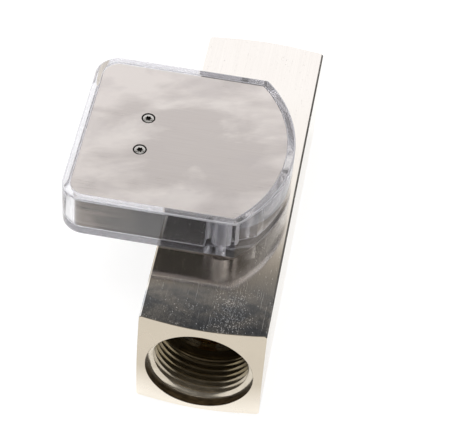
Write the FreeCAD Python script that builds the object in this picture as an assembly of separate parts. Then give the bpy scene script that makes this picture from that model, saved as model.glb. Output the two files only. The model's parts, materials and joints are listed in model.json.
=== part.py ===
import FreeCAD, Part
import math
import os
from FreeCAD import Vector

# Variable area flow meter: a square bar with a pipe thread at each end, a spring-loaded float on a rod
# inside it, and a clear display housing on one side whose pointer follows the float by magnets.
# Millimetres. X across the bar, Y along the flow, Z up, origin in the middle of the resting face.

# Measuring body
BODY_WIDTH = 40.0               # across the flats of the square bar
BODY_LENGTH = 127.6             # from corner to corner along the flow
BODY_EDGE_CHAMFER = 0.6
END_CONE_RISE = 2.42            # the turned ends stand this much proud of the corners
PORT_THREAD_R = 33.249 / 2      # G 1 pipe thread, at its crests in the wall
PORT_RECESS_WIDTH = 0.56        # from the thread's radius out to the recess at the mouth
PORT_RECESS_DEPTH = 2.7
PORT_DEPTH = 19.0
BORE_R = 13.0

# Cartridge of guides and sleeve that fills the bore
CARTRIDGE_CLEARANCE = 0.03
RING_THICKNESS = 1.2
RING_GROOVE_DEPTH = 0.8
RING_GROOVE_PLAY = 0.1
RING_RADIAL_WIDTH = 2.4
RING_OPENING = 5.0
RING_LAND = 1.5                 # metal left between the groove and the port's floor
GUIDE_LENGTH = 6.0
GUIDE_RIM = 1.6
GUIDE_ARM_WIDTH = 2.4
GUIDE_ARMS = 3
GUIDE_HUB_R = 4.4
SLEEVE_WALL = 1.8               # at the wide end of the measuring cone
SLEEVE_INLET_CHAMFER = 1.2
CONE_OPENING = 2.0              # how much the radius grows along the measuring cone
O_RING_SECTION = 1.44
O_RING_SQUEEZE_GAP = 0.02
O_RING_GROOVE_WIDTH = 2.0
O_RING_INSET = 8.0              # from the inlet end of the sleeve
ROD_R = 2.0
ROD_FIT = 0.01
ROD_RUNNING_CLEARANCE = 0.05

# Float
STROKE = 24.0
FLOAT_STOP_GAP = 0.3
THROAT_GAP = 0.3
FLOAT_NOSE_LENGTH = 3.5
FLOAT_NOSE_R = 4.0
FLOAT_RIM_LENGTH = 0.5
FLOAT_BACK_TAPER = 1.0
FLOAT_HUB_R = 4.5
FLOAT_SPIGOT = 2.0
MAGNET_LENGTH = 8.0
MAGNET_STEP = 0.9               # the ring magnet is this much smaller than the float's rim
CAP_LENGTH = 3.0
CAP_STEP = 1.0                  # the cap is this much smaller than the ring magnet
CAP_CHAMFER = 0.5
PIECE_FIT = 0.02                # between pieces that are pushed or screwed onto each other

# Float spring
SPRING_WIRE_R = 0.3
SPRING_INNER_GAP = 0.4
SPRING_TURNS = 7
SPRING_WIRE_SIDES = 4
SPRING_COMPRESSED = 15.3        # length left at full flow
SPRING_SEAT_LIP = 1.2           # seat outside the middle of the wire

# Display housing
HOUSING_Y = -2.3                # its middle, along the flow
HOUSING_OVERHANG = 32.1         # beyond the bar on the reading side
HOUSING_TIP_INSET = 1.9         # from the tip of the arc to the bar's other side
HOUSING_HALF_WIDTH = 32.7
HOUSING_ARC_R = 46.4
HOUSING_CORNER_R = 8.0
HOUSING_ARC_CORNER_R = 1.4
HOUSING_HEIGHT = 16.0
HOUSING_EDGE_CHAMFER = 0.4
HOUSING_FLOOR = 1.4
HOUSING_WALL = 3.2
HOUSING_RIM = 2.6               # wall left outside the back plate
PILLAR_HALF = 5.0               # from the screw's axis to the pillar's free sides
PILLAR_EDGE_R = 2.0
HOUSING_SCREW_INSET = 5.5       # from the outside of the housing to the screw's axis
HOUSING_SCREW_R = 1.5
HOUSING_SCREW_HOLE_PLAY = 0.2
HOUSING_SCREW_HEAD_R = 2.75
HOUSING_SCREW_HEAD_LENGTH = 2.4
HOUSING_SCREW_HEAD_PLAY = 0.4
HOUSING_SCREW_SINK = 10.2       # from the pillar's top to the seat of the head
HOUSING_SCREW_GRIP = 4.7        # thread held by the bar
BLIND_HOLE_SPARE = 0.5

# Back plate
PLATE_THICKNESS = 1.5
PLATE_RECESS = 0.3
PLATE_CLEARANCE = 0.1
PLATE_CORNER_R = 0.8
SEAL_THICKNESS = 0.5
PLATE_SCREW_SPACING = 14.3
PLATE_SCREW_R = 1.25
PLATE_SCREW_HEAD_R = 2.35
PLATE_SCREW_LENGTH = 5.0
PLATE_SCREW_HOLE_PLAY = 0.1
COUNTERSINK_PLAY = 0.03

# Movement
ARM_LENGTH = 30.85              # from the spindle to the middle of the flow
BRACKET_SHEET = 1.2
BRACKET_WIDTH = 8.0
BRACKET_MARGIN = 3.35           # from a plate screw to the bracket's end
BRACKET_BEND_R = 1.4
COLLAR_WALL = 1.0
COLLAR_LENGTH = 2.5
BUSH_R = 1.5
BUSH_FLANGE_R = 2.4
BUSH_FLANGE = 0.6
SPINDLE_R = 0.75
SPINDLE_CLEARANCE = 0.03
SPINDLE_FLOOR_GAP = 0.5
SPINDLE_TOP_GAP = 0.25
HUB_END_PLAY = 0.15
HUB_R = 2.2
HUB_FLANGE_R = 3.2
HUB_FLANGE = 1.05
ARM_THICKNESS = 0.8
ARM_RING_R = 4.0
ARM_ROOT_HALF = 2.4
ARM_TIP_HALF = 1.6
ARM_TIP_WALL = 0.7
ARM_TAIL_HALF = 1.7
FOLLOWER_MAGNET_R = 3.0
FOLLOWER_MAGNET_HEIGHT = 4.4
COUNTERWEIGHT_R = 3.0
COUNTERWEIGHT_HEIGHT = 2.4
COUNTERWEIGHT_WALL_GAP = 5.0
DIAL_THICKNESS = 0.8
DIAL_HEIGHT = 2.3               # from the housing's floor to the dial's reading side
DIAL_CLEARANCE = 0.25
DIAL_BAR_OVERLAP = 1.0          # how far the dial reaches over the bar
DIAL_WALL_GAP = 0.15            # from the dial's walls to the housing's floor and to its ledge
DIAL_HOLE_R = 1.8
DIAL_SCREW_R = 0.8
DIAL_SCREW_HEAD_R = 1.4
DIAL_SCREW_HEAD = 0.7
DIAL_SCREW_SPARE = 0.3          # thread that stands out above the bracket
POINTER_HUB_R = 1.8
POINTER_HUB_HEIGHT = 1.0
POINTER_HUB_GAP = 0.75          # from the housing's floor
POINTER_BLADE = 0.4
POINTER_ROOT_HALF = 1.1
POINTER_TIP_HALF = 0.3
POINTER_TAIL = 5.0
POINTER_TIP_GAP = 2.4           # from the housing's wall

# Levels and stations that follow from the sizes above
AXIS_Z = BODY_WIDTH / 2
MOUTH_R = PORT_THREAD_R + PORT_RECESS_WIDTH
MOUTH_Y = BODY_LENGTH / 2 + END_CONE_RISE
PORT_FLOOR_Y = MOUTH_Y - PORT_DEPTH
GROOVE_OUTER_Y = PORT_FLOOR_Y - RING_LAND
CARTRIDGE_END_Y = GROOVE_OUTER_Y - RING_THICKNESS - RING_GROOVE_PLAY
SLEEVE_END_Y = CARTRIDGE_END_Y - GUIDE_LENGTH
CARTRIDGE_R = BORE_R - CARTRIDGE_CLEARANCE
SLEEVE_EXIT_R = BORE_R - SLEEVE_WALL
THROAT_R = SLEEVE_EXIT_R - CONE_OPENING
FLOAT_RIM_R = THROAT_R - THROAT_GAP
MAGNET_R = FLOAT_RIM_R - MAGNET_STEP
CAP_R = MAGNET_R - CAP_STEP

FLOAT_Y = HOUSING_Y - STROKE / 2            # middle of the ring magnet with no flow
DISC_BACK_Y = FLOAT_Y - MAGNET_LENGTH / 2
RIM_BACK_Y = DISC_BACK_Y - FLOAT_BACK_TAPER
RIM_FRONT_Y = RIM_BACK_Y - FLOAT_RIM_LENGTH
NOSE_Y = RIM_FRONT_Y - FLOAT_NOSE_LENGTH
CAP_FRONT_Y = FLOAT_Y + MAGNET_LENGTH / 2
CAP_BACK_Y = CAP_FRONT_Y + CAP_LENGTH
FLOAT_END_Y = CAP_BACK_Y + FLOAT_SPIGOT
SPRING_SEAT_Y = CAP_BACK_Y + STROKE + SPRING_COMPRESSED
SPRING_R = FLOAT_HUB_R + SPRING_INNER_GAP + SPRING_WIRE_R
SPRING_SEAT_R = SPRING_R + SPRING_SEAT_LIP

HOUSING_BOTTOM_Z = BODY_WIDTH
HOUSING_TOP_Z = HOUSING_BOTTOM_Z + HOUSING_HEIGHT
HOUSING_LEFT_X = -BODY_WIDTH / 2 - HOUSING_OVERHANG
HOUSING_ARC_X = BODY_WIDTH / 2 - HOUSING_TIP_INSET - HOUSING_ARC_R
FLOOR_Z = HOUSING_BOTTOM_Z + HOUSING_FLOOR
PLATE_TOP_Z = HOUSING_TOP_Z - PLATE_RECESS
PLATE_BOTTOM_Z = PLATE_TOP_Z - PLATE_THICKNESS
LEDGE_Z = PLATE_BOTTOM_Z - SEAL_THICKNESS
CAVITY_LEFT_X = HOUSING_LEFT_X + HOUSING_WALL
SCREW_SEAT_Z = LEDGE_Z - HOUSING_SCREW_SINK
HOUSING_SCREW_OFFSET = HOUSING_HALF_WIDTH - HOUSING_SCREW_INSET

PIVOT_X = -ARM_LENGTH
PIVOT_Y = HOUSING_Y
REST_ANGLE = -math.degrees(STROKE / 2 / ARM_LENGTH)
DIAL_BOTTOM_Z = FLOOR_Z + DIAL_HEIGHT
DIAL_TOP_Z = DIAL_BOTTOM_Z + DIAL_THICKNESS
STRIP_TOP_Z = DIAL_TOP_Z + BRACKET_SHEET
UPPER_STRIP_Z = PLATE_BOTTOM_Z - BRACKET_SHEET
HUB_BOTTOM_Z = STRIP_TOP_Z + BUSH_FLANGE + HUB_END_PLAY
HUB_TOP_Z = UPPER_STRIP_Z - BUSH_FLANGE - HUB_END_PLAY
ARM_Z = HUB_BOTTOM_Z + HUB_FLANGE
BRACKET_HALF = PLATE_SCREW_SPACING / 2 + BRACKET_MARGIN
POINTER_HUB_Z = FLOOR_Z + POINTER_HUB_GAP
POINTER_LENGTH = PIVOT_X - CAVITY_LEFT_X - POINTER_TIP_GAP
COUNTERWEIGHT_REACH = PIVOT_X - CAVITY_LEFT_X - COUNTERWEIGHT_WALL_GAP - COUNTERWEIGHT_R

UP = Vector(0, 0, 1)
PAST = 1.0                      # how far a cutting tool runs past the face that it opens


def face_of(points):
    """Flat face inside a closed polygon."""
    return Part.Face(Part.makePolygon(points + points[:1]))


def turned(profile):
    """Solid turned about the flow axis from (radius, y) points."""
    face = face_of([Vector(radius, y, 0) for radius, y in profile])
    solid = face.revolve(Vector(0, 0, 0), Vector(0, 1, 0), 360)
    solid.translate(Vector(0, 0, AXIS_Z))
    return solid


def upright(profile, x, y):
    """Solid turned about a vertical axis from (radius, z) points."""
    face = face_of([Vector(radius, 0, z) for radius, z in profile])
    solid = face.revolve(Vector(0, 0, 0), UP, 360)
    solid.translate(Vector(x, y, 0))
    return solid


def post(radius, low, high, x, y):
    """Vertical cylinder between two levels."""
    return Part.makeCylinder(radius, high - low, Vector(x, y, low), UP)


def block(x0, x1, y0, y1, z0, z1):
    """Box between two corners."""
    return Part.makeBox(x1 - x0, y1 - y0, z1 - z0, Vector(x0, y0, z0))


def edges_where(shape, test):
    """Edges whose ends and middle all pass a test."""
    chosen = []
    for edge in shape.Edges:
        first, last = edge.ParameterRange
        points = [edge.valueAt(first), edge.valueAt((first + last) / 2), edge.valueAt(last)]
        if all(test(point) for point in points):
            chosen.append(edge)
    return chosen


def near(a, b):
    return abs(a - b) < 1e-4


def both_sides(offset):
    """The two places along the flow that lie evenly about the housing's middle."""
    return [HOUSING_Y - offset, HOUSING_Y + offset]


def housing_outline(inset):
    """Plan of the display housing moved inwards: three straight sides and an arc."""
    half = HOUSING_HALF_WIDTH - inset
    arc_r = HOUSING_ARC_R - inset
    corner = HOUSING_CORNER_R - inset
    left = HOUSING_LEFT_X + inset
    front = HOUSING_Y - half
    rear = HOUSING_Y + half
    arc_end = HOUSING_ARC_X + math.sqrt(arc_r ** 2 - half ** 2)
    cut = corner * (1 - math.sqrt(0.5))
    edges = [
        Part.LineSegment(Vector(left + corner, front), Vector(arc_end, front)),
        Part.Arc(Vector(arc_end, front), Vector(HOUSING_ARC_X + arc_r, HOUSING_Y), Vector(arc_end, rear)),
        Part.LineSegment(Vector(arc_end, rear), Vector(left + corner, rear)),
        Part.Arc(Vector(left + corner, rear), Vector(left + cut, rear - cut), Vector(left, rear - corner)),
        Part.LineSegment(Vector(left, rear - corner), Vector(left, front + corner)),
        Part.Arc(Vector(left, front + corner), Vector(left + cut, front + cut), Vector(left + corner, front)),
    ]
    return Part.Face(Part.Wire([edge.toShape() for edge in edges]))


def housing_slab(inset, low, high, arc_corner_r=0.0):
    """The housing's plan between two levels, with the corners beside the arc rounded."""
    face = housing_outline(inset)
    face.translate(Vector(0, 0, low))
    slab = face.extrude(Vector(0, 0, high - low))
    if arc_corner_r <= 0:
        return slab
    arc_end = HOUSING_ARC_X + math.sqrt((HOUSING_ARC_R - inset) ** 2 - (HOUSING_HALF_WIDTH - inset) ** 2)
    return slab.makeFillet(arc_corner_r, edges_where(slab, lambda point: near(point.x, arc_end)))


def turn_with_spindle(shape):
    """Sets a piece made along X from the spindle's axis to its angle with no flow."""
    shape.rotate(Vector(0, 0, 0), UP, REST_ANGLE)
    shape.translate(Vector(PIVOT_X, PIVOT_Y, 0))
    return shape


def measuring_body():
    half = BODY_WIDTH / 2
    bar = block(-half, half, -MOUTH_Y, MOUTH_Y, 0, BODY_WIDTH)
    long_edges = edges_where(bar, lambda point: near(abs(point.x), half) and near(abs(point.z - half), half))
    bar = bar.makeChamfer(BODY_EDGE_CHAMFER, long_edges)
    corner_r = half * math.sqrt(2)
    slope = END_CONE_RISE / (corner_r - MOUTH_R)
    outer_r = corner_r + PAST
    outer_y = BODY_LENGTH / 2 - PAST * slope
    turned_ends = turned([
        (0, -MOUTH_Y), (MOUTH_R, -MOUTH_Y), (outer_r, -outer_y),
        (outer_r, outer_y), (MOUTH_R, MOUTH_Y), (0, MOUTH_Y),
    ])
    body = bar.common(turned_ends)
    recess_y = MOUTH_Y - PORT_RECESS_DEPTH
    groove_r = BORE_R + RING_GROOVE_DEPTH
    half_bore = [
        (MOUTH_R, MOUTH_Y), (MOUTH_R, recess_y), (PORT_THREAD_R, recess_y), (PORT_THREAD_R, PORT_FLOOR_Y),
        (BORE_R, PORT_FLOOR_Y), (BORE_R, GROOVE_OUTER_Y), (groove_r, GROOVE_OUTER_Y),
        (groove_r, CARTRIDGE_END_Y), (BORE_R, CARTRIDGE_END_Y),
    ]
    other_half = [(radius, -y) for radius, y in reversed(half_bore)]
    body = body.cut(turned([(0, MOUTH_Y)] + half_bore + other_half + [(0, -MOUTH_Y)]))
    hole_r = HOUSING_SCREW_R + PIECE_FIT
    hole_bottom = BODY_WIDTH - HOUSING_SCREW_GRIP - BLIND_HOLE_SPARE
    for y in both_sides(HOUSING_SCREW_OFFSET):
        body = body.cut(post(hole_r, hole_bottom, BODY_WIDTH + PAST, 0, y))
    return body


def measuring_sleeve():
    """Tube with the measuring cone; the float's rim rests at the cone's narrow end."""
    groove_r = CARTRIDGE_R - O_RING_SECTION
    groove_y = -SLEEVE_END_Y + O_RING_INSET
    half_groove = O_RING_GROOVE_WIDTH / 2
    return turned([
        (CARTRIDGE_R, -SLEEVE_END_Y),
        (CARTRIDGE_R, groove_y - half_groove), (groove_r, groove_y - half_groove),
        (groove_r, groove_y + half_groove), (CARTRIDGE_R, groove_y + half_groove),
        (CARTRIDGE_R, SLEEVE_END_Y), (SLEEVE_EXIT_R, SLEEVE_END_Y),
        (SLEEVE_EXIT_R, RIM_FRONT_Y + STROKE), (THROAT_R, RIM_FRONT_Y),
        (THROAT_R, -SLEEVE_END_Y + SLEEVE_INLET_CHAMFER),
        (THROAT_R + SLEEVE_INLET_CHAMFER, -SLEEVE_END_Y),
    ])


def sleeve_o_ring():
    """Seal squeezed into its groove, so that its section is a rounded square."""
    half = (O_RING_SECTION - O_RING_SQUEEZE_GAP) / 2
    flat = half * math.tan(math.pi / 8)
    middle_r = CARTRIDGE_R - half
    middle_y = -SLEEVE_END_Y + O_RING_INSET
    corners = [(half, -flat), (half, flat), (flat, half), (-flat, half),
               (-half, flat), (-half, -flat), (-flat, -half), (flat, -half)]
    return turned([(middle_r + radial, middle_y + along) for radial, along in corners])


def retaining_ring(side):
    """Open spring ring in its groove, with its gap at the bottom."""
    inner_r = BORE_R + RING_GROOVE_DEPTH - RING_RADIAL_WIDTH
    outer_r = BORE_R + RING_GROOVE_DEPTH - CARTRIDGE_CLEARANCE
    near_y = side * CARTRIDGE_END_Y
    far_y = side * (CARTRIDGE_END_Y + RING_THICKNESS)
    ring = turned([(inner_r, near_y), (outer_r, near_y), (outer_r, far_y), (inner_r, far_y)])
    half_gap = RING_OPENING / 2
    low_y = min(near_y, far_y) - PAST
    high_y = max(near_y, far_y) + PAST
    return ring.cut(block(-half_gap, half_gap, low_y, high_y, AXIS_Z - BORE_R - PAST, AXIS_Z))


def guide_star(hub_profile, side):
    """Star that centres the rod: a rim and arms about a turned hub."""
    inner_y = side * SLEEVE_END_Y
    outer_y = side * CARTRIDGE_END_Y
    rim_r = CARTRIDGE_R - GUIDE_RIM
    star = turned([(rim_r, inner_y), (CARTRIDGE_R, inner_y), (CARTRIDGE_R, outer_y), (rim_r, outer_y)])
    star = star.fuse(turned(hub_profile))
    low_y = min(inner_y, outer_y)
    for index in range(GUIDE_ARMS):
        arm = Part.makeBox(GUIDE_ARM_WIDTH, GUIDE_LENGTH, rim_r + GUIDE_RIM / 2,
                           Vector(-GUIDE_ARM_WIDTH / 2, low_y, 0))
        arm.rotate(Vector(0, 0, 0), Vector(0, 1, 0), 360 / GUIDE_ARMS * index)
        arm.translate(Vector(0, 0, AXIS_Z))
        star = star.fuse(arm)
    star = star.cut(turned([(0, -MOUTH_Y), (ROD_R + ROD_FIT, -MOUTH_Y), (ROD_R + ROD_FIT, MOUTH_Y), (0, MOUTH_Y)]))
    return star.removeSplitter()


def inlet_guide():
    """Inlet star; its long hub is the float's stop with no flow."""
    stop_y = NOSE_Y - FLOAT_STOP_GAP
    return guide_star([
        (0, -CARTRIDGE_END_Y), (GUIDE_HUB_R, -CARTRIDGE_END_Y), (GUIDE_HUB_R, -SLEEVE_END_Y),
        (FLOAT_NOSE_R, stop_y), (0, stop_y),
    ], -1)


def outlet_guide():
    """Outlet star; its hub seats the spring and stops the float at full flow."""
    stop_y = FLOAT_END_Y + STROKE + FLOAT_STOP_GAP
    return guide_star([
        (0, stop_y), (FLOAT_HUB_R, stop_y), (FLOAT_HUB_R, SPRING_SEAT_Y), (SPRING_SEAT_R, SPRING_SEAT_Y),
        (GUIDE_HUB_R, CARTRIDGE_END_Y), (0, CARTRIDGE_END_Y),
    ], 1)


def guide_rod():
    return turned([(0, -CARTRIDGE_END_Y), (ROD_R, -CARTRIDGE_END_Y), (ROD_R, CARTRIDGE_END_Y), (0, CARTRIDGE_END_Y)])


def float_body():
    bore_r = ROD_R + ROD_RUNNING_CLEARANCE
    return turned([
        (bore_r, NOSE_Y), (FLOAT_NOSE_R, NOSE_Y), (FLOAT_RIM_R, RIM_FRONT_Y), (FLOAT_RIM_R, RIM_BACK_Y),
        (MAGNET_R, DISC_BACK_Y), (FLOAT_HUB_R, DISC_BACK_Y), (FLOAT_HUB_R, FLOAT_END_Y), (bore_r, FLOAT_END_Y),
    ])


def float_magnet():
    inner_r = FLOAT_HUB_R + PIECE_FIT
    return turned([
        (inner_r, DISC_BACK_Y), (MAGNET_R, DISC_BACK_Y), (MAGNET_R, CAP_FRONT_Y), (inner_r, CAP_FRONT_Y),
    ])


def float_cap():
    inner_r = FLOAT_HUB_R + PIECE_FIT
    return turned([
        (inner_r, CAP_FRONT_Y), (CAP_R, CAP_FRONT_Y), (CAP_R, CAP_BACK_Y - CAP_CHAMFER),
        (CAP_R - CAP_CHAMFER, CAP_BACK_Y), (inner_r, CAP_BACK_Y),
    ])


def float_spring():
    """Coil between the float's cap and the outlet guide's seat."""
    height = SPRING_SEAT_Y - CAP_BACK_Y - 2 * SPRING_WIRE_R
    helix = Part.makeHelix(height / SPRING_TURNS, height, SPRING_R)
    corners = []
    for index in range(SPRING_WIRE_SIDES):
        angle = 2 * math.pi * (index + 0.5) / SPRING_WIRE_SIDES
        corners.append(Vector(SPRING_R + SPRING_WIRE_R * math.cos(angle), 0, SPRING_WIRE_R * math.sin(angle)))
    section = Part.makePolygon(corners + corners[:1])
    coil = Part.Wire(helix.Edges).makePipeShell([section], True, True)
    coil.rotate(Vector(0, 0, 0), Vector(1, 0, 0), -90)
    coil.translate(Vector(0, CAP_BACK_Y + SPRING_WIRE_R, AXIS_Z))
    return coil


def pillar(y):
    """Corner of the housing's inside that stays solid round a housing screw."""
    toward_middle = 1 if y < HOUSING_Y else -1
    free_y = y + toward_middle * PILLAR_HALF
    wall_y = y - toward_middle * HOUSING_SCREW_INSET
    shape = block(-PILLAR_HALF, BODY_WIDTH / 2, min(free_y, wall_y), max(free_y, wall_y), HOUSING_BOTTOM_Z, LEDGE_Z)
    inner_edge = edges_where(shape, lambda point: near(point.x, -PILLAR_HALF) and near(point.y, free_y))
    return shape.makeFillet(PILLAR_EDGE_R, inner_edge)


def display_housing():
    """Clear tray with a rebate for the back plate and two corner pillars for its screws."""
    tray = housing_slab(0, HOUSING_BOTTOM_Z, HOUSING_TOP_Z, HOUSING_ARC_CORNER_R)
    rims = edges_where(tray, lambda point: near(point.z, HOUSING_TOP_Z))
    rims += edges_where(tray, lambda point: near(point.z, HOUSING_BOTTOM_Z))
    tray = tray.makeChamfer(HOUSING_EDGE_CHAMFER, rims)
    tray = tray.cut(housing_slab(HOUSING_RIM, LEDGE_Z, HOUSING_TOP_Z + PAST, PLATE_CORNER_R))
    cavity = housing_slab(HOUSING_WALL, FLOOR_Z, LEDGE_Z + PAST)
    for y in both_sides(HOUSING_SCREW_OFFSET):
        cavity = cavity.cut(pillar(y))
    ledge_opening = cavity.common(block(HOUSING_LEFT_X, BODY_WIDTH / 2, HOUSING_Y - HOUSING_HALF_WIDTH,
                                        HOUSING_Y + HOUSING_HALF_WIDTH, FLOOR_Z, LEDGE_Z))
    tray = tray.cut(ledge_opening)
    hole_r = HOUSING_SCREW_R + HOUSING_SCREW_HOLE_PLAY
    sink_r = HOUSING_SCREW_HEAD_R + HOUSING_SCREW_HEAD_PLAY
    for y in both_sides(HOUSING_SCREW_OFFSET):
        tray = tray.cut(post(hole_r, HOUSING_BOTTOM_Z - PAST, SCREW_SEAT_Z + PAST, 0, y))
        tray = tray.cut(post(sink_r, SCREW_SEAT_Z, LEDGE_Z + PAST, 0, y))
    return tray.removeSplitter()


def housing_screw(y):
    tip = BODY_WIDTH - HOUSING_SCREW_GRIP
    head_top = SCREW_SEAT_Z + HOUSING_SCREW_HEAD_LENGTH
    return upright([
        (0, tip), (HOUSING_SCREW_R, tip), (HOUSING_SCREW_R, SCREW_SEAT_Z), (HOUSING_SCREW_HEAD_R, SCREW_SEAT_Z),
        (HOUSING_SCREW_HEAD_R, head_top), (0, head_top),
    ], 0, y)


def back_plate():
    plate = housing_slab(HOUSING_RIM + PLATE_CLEARANCE, PLATE_BOTTOM_Z, PLATE_TOP_Z, PLATE_CORNER_R)
    hole_r = PLATE_SCREW_R + PLATE_SCREW_HOLE_PLAY
    cone_r = PLATE_SCREW_HEAD_R + COUNTERSINK_PLAY
    cone_bottom = PLATE_TOP_Z - (cone_r - hole_r)
    for y in both_sides(PLATE_SCREW_SPACING / 2):
        plate = plate.cut(upright([
            (0, PLATE_BOTTOM_Z - PAST), (hole_r, PLATE_BOTTOM_Z - PAST), (hole_r, cone_bottom),
            (cone_r, PLATE_TOP_Z), (cone_r, PLATE_TOP_Z + PAST), (0, PLATE_TOP_Z + PAST),
        ], PIVOT_X, y))
    return plate


def back_plate_seal():
    """Flat sealing strip on the ledge, under the edge of the back plate."""
    outer = housing_slab(HOUSING_RIM + PLATE_CLEARANCE, LEDGE_Z, PLATE_BOTTOM_Z, PLATE_CORNER_R)
    return outer.cut(housing_slab(HOUSING_WALL, LEDGE_Z - PAST, PLATE_BOTTOM_Z + PAST))


def back_plate_screw(y):
    tip = PLATE_TOP_Z - PLATE_SCREW_LENGTH
    neck = PLATE_TOP_Z - (PLATE_SCREW_HEAD_R - PLATE_SCREW_R)
    return upright([
        (0, tip), (PLATE_SCREW_R, tip), (PLATE_SCREW_R, neck), (PLATE_SCREW_HEAD_R, PLATE_TOP_Z), (0, PLATE_TOP_Z),
    ], PIVOT_X, y)


def bearing_bracket():
    """Folded frame that carries both bushes, with tapped collars for the plate's screws."""
    half_width = BRACKET_WIDTH / 2
    frame = block(PIVOT_X - half_width, PIVOT_X + half_width, PIVOT_Y - BRACKET_HALF, PIVOT_Y + BRACKET_HALF,
                  DIAL_TOP_Z, PLATE_BOTTOM_Z)
    bends = edges_where(frame, lambda point: near(abs(point.y - PIVOT_Y), BRACKET_HALF)
                        and (near(point.z, DIAL_TOP_Z) or near(point.z, PLATE_BOTTOM_Z)))
    frame = frame.makeFillet(BRACKET_BEND_R, bends)
    window_half = BRACKET_HALF - BRACKET_SHEET
    frame = frame.cut(block(PIVOT_X - half_width - PAST, PIVOT_X + half_width + PAST, PIVOT_Y - window_half,
                            PIVOT_Y + window_half, STRIP_TOP_Z, UPPER_STRIP_Z))
    thread_r = PLATE_SCREW_R + PIECE_FIT
    for y in both_sides(PLATE_SCREW_SPACING / 2):
        frame = frame.fuse(post(thread_r + COLLAR_WALL, UPPER_STRIP_Z - COLLAR_LENGTH, PLATE_BOTTOM_Z, PIVOT_X, y))
        frame = frame.cut(post(thread_r, UPPER_STRIP_Z - COLLAR_LENGTH - PAST, PLATE_BOTTOM_Z + PAST, PIVOT_X, y))
        frame = frame.cut(post(DIAL_SCREW_R + PIECE_FIT, DIAL_TOP_Z - PAST, STRIP_TOP_Z + PAST, PIVOT_X, y))
    frame = frame.cut(post(BUSH_R + PIECE_FIT, DIAL_TOP_Z - PAST, PLATE_BOTTOM_Z + PAST, PIVOT_X, PIVOT_Y))
    return frame.removeSplitter()


def bush(strip_far_z, strip_near_z):
    """Flanged bush in a strip of the bracket; its flange faces the arm's hub."""
    inner_r = SPINDLE_R + SPINDLE_CLEARANCE
    outwards = 1 if strip_near_z > strip_far_z else -1
    flange_z = strip_near_z + outwards * BUSH_FLANGE
    return upright([
        (inner_r, strip_far_z), (BUSH_R, strip_far_z), (BUSH_R, strip_near_z), (BUSH_FLANGE_R, strip_near_z),
        (BUSH_FLANGE_R, flange_z), (inner_r, flange_z),
    ], PIVOT_X, PIVOT_Y)


def pointer_spindle():
    return post(SPINDLE_R, FLOOR_Z + SPINDLE_FLOOR_GAP, PLATE_BOTTOM_Z - SPINDLE_TOP_GAP, PIVOT_X, PIVOT_Y)


def arm_hub():
    inner_r = SPINDLE_R + PIECE_FIT
    return upright([
        (inner_r, HUB_BOTTOM_Z), (HUB_FLANGE_R, HUB_BOTTOM_Z), (HUB_FLANGE_R, ARM_Z), (HUB_R, ARM_Z),
        (HUB_R, HUB_TOP_Z), (inner_r, HUB_TOP_Z),
    ], PIVOT_X, PIVOT_Y)


def tapered_strip(x0, half0, x1, half1, low, high):
    """Straight strip along X whose width changes from one end to the other."""
    face = face_of([Vector(x0, -half0, low), Vector(x1, -half1, low), Vector(x1, half1, low), Vector(x0, half0, low)])
    return face.extrude(Vector(0, 0, high - low))


def follower_arm():
    """Flat lever with a ring on the hub, a magnet seat at one end and a tail for the counterweight."""
    top = ARM_Z + ARM_THICKNESS
    arm = post(ARM_RING_R, ARM_Z, top, 0, 0)
    arm = arm.fuse(tapered_strip(0, ARM_ROOT_HALF, ARM_LENGTH, ARM_TIP_HALF, ARM_Z, top))
    arm = arm.fuse(post(FOLLOWER_MAGNET_R + ARM_TIP_WALL, ARM_Z, top, ARM_LENGTH, 0))
    arm = arm.fuse(tapered_strip(0, ARM_ROOT_HALF, -COUNTERWEIGHT_REACH, ARM_TAIL_HALF, ARM_Z, top))
    arm = arm.fuse(post(COUNTERWEIGHT_R, ARM_Z, top, -COUNTERWEIGHT_REACH, 0))
    arm = arm.cut(post(HUB_R + PIECE_FIT, ARM_Z - PAST, top + PAST, 0, 0))
    return turn_with_spindle(arm.removeSplitter())


def follower_magnet():
    return turn_with_spindle(post(FOLLOWER_MAGNET_R, ARM_Z - FOLLOWER_MAGNET_HEIGHT, ARM_Z, ARM_LENGTH, 0))


def counterweight():
    return turn_with_spindle(post(COUNTERWEIGHT_R, ARM_Z - COUNTERWEIGHT_HEIGHT, ARM_Z, -COUNTERWEIGHT_REACH, 0))


def dial_plate():
    """Scale plate in the overhang, walled on three sides; it ends just over the bar."""
    outer_inset = HOUSING_WALL + DIAL_CLEARANCE
    inner_inset = outer_inset + DIAL_THICKNESS
    low = FLOOR_Z + DIAL_WALL_GAP
    high = LEDGE_Z - DIAL_WALL_GAP
    plate = housing_slab(outer_inset, low, high)
    plate = plate.cut(housing_slab(inner_inset, low - PAST, DIAL_BOTTOM_Z))
    plate = plate.cut(housing_slab(inner_inset, DIAL_TOP_Z, high + PAST))
    plate = plate.common(block(HOUSING_LEFT_X, DIAL_BAR_OVERLAP - BODY_WIDTH / 2, HOUSING_Y - HOUSING_HALF_WIDTH,
                               HOUSING_Y + HOUSING_HALF_WIDTH, low, high))
    plate = plate.cut(post(DIAL_HOLE_R, DIAL_BOTTOM_Z - PAST, DIAL_TOP_Z + PAST, PIVOT_X, PIVOT_Y))
    for y in both_sides(PLATE_SCREW_SPACING / 2):
        plate = plate.cut(post(DIAL_SCREW_R + PIECE_FIT, DIAL_BOTTOM_Z - PAST, DIAL_TOP_Z + PAST, PIVOT_X, y))
    return plate


def dial_screw(y):
    low = DIAL_BOTTOM_Z - DIAL_SCREW_HEAD
    tip = STRIP_TOP_Z + DIAL_SCREW_SPARE
    return upright([
        (0, low), (DIAL_SCREW_HEAD_R, low), (DIAL_SCREW_HEAD_R, DIAL_BOTTOM_Z), (DIAL_SCREW_R, DIAL_BOTTOM_Z),
        (DIAL_SCREW_R, tip), (0, tip),
    ], PIVOT_X, y)


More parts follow.
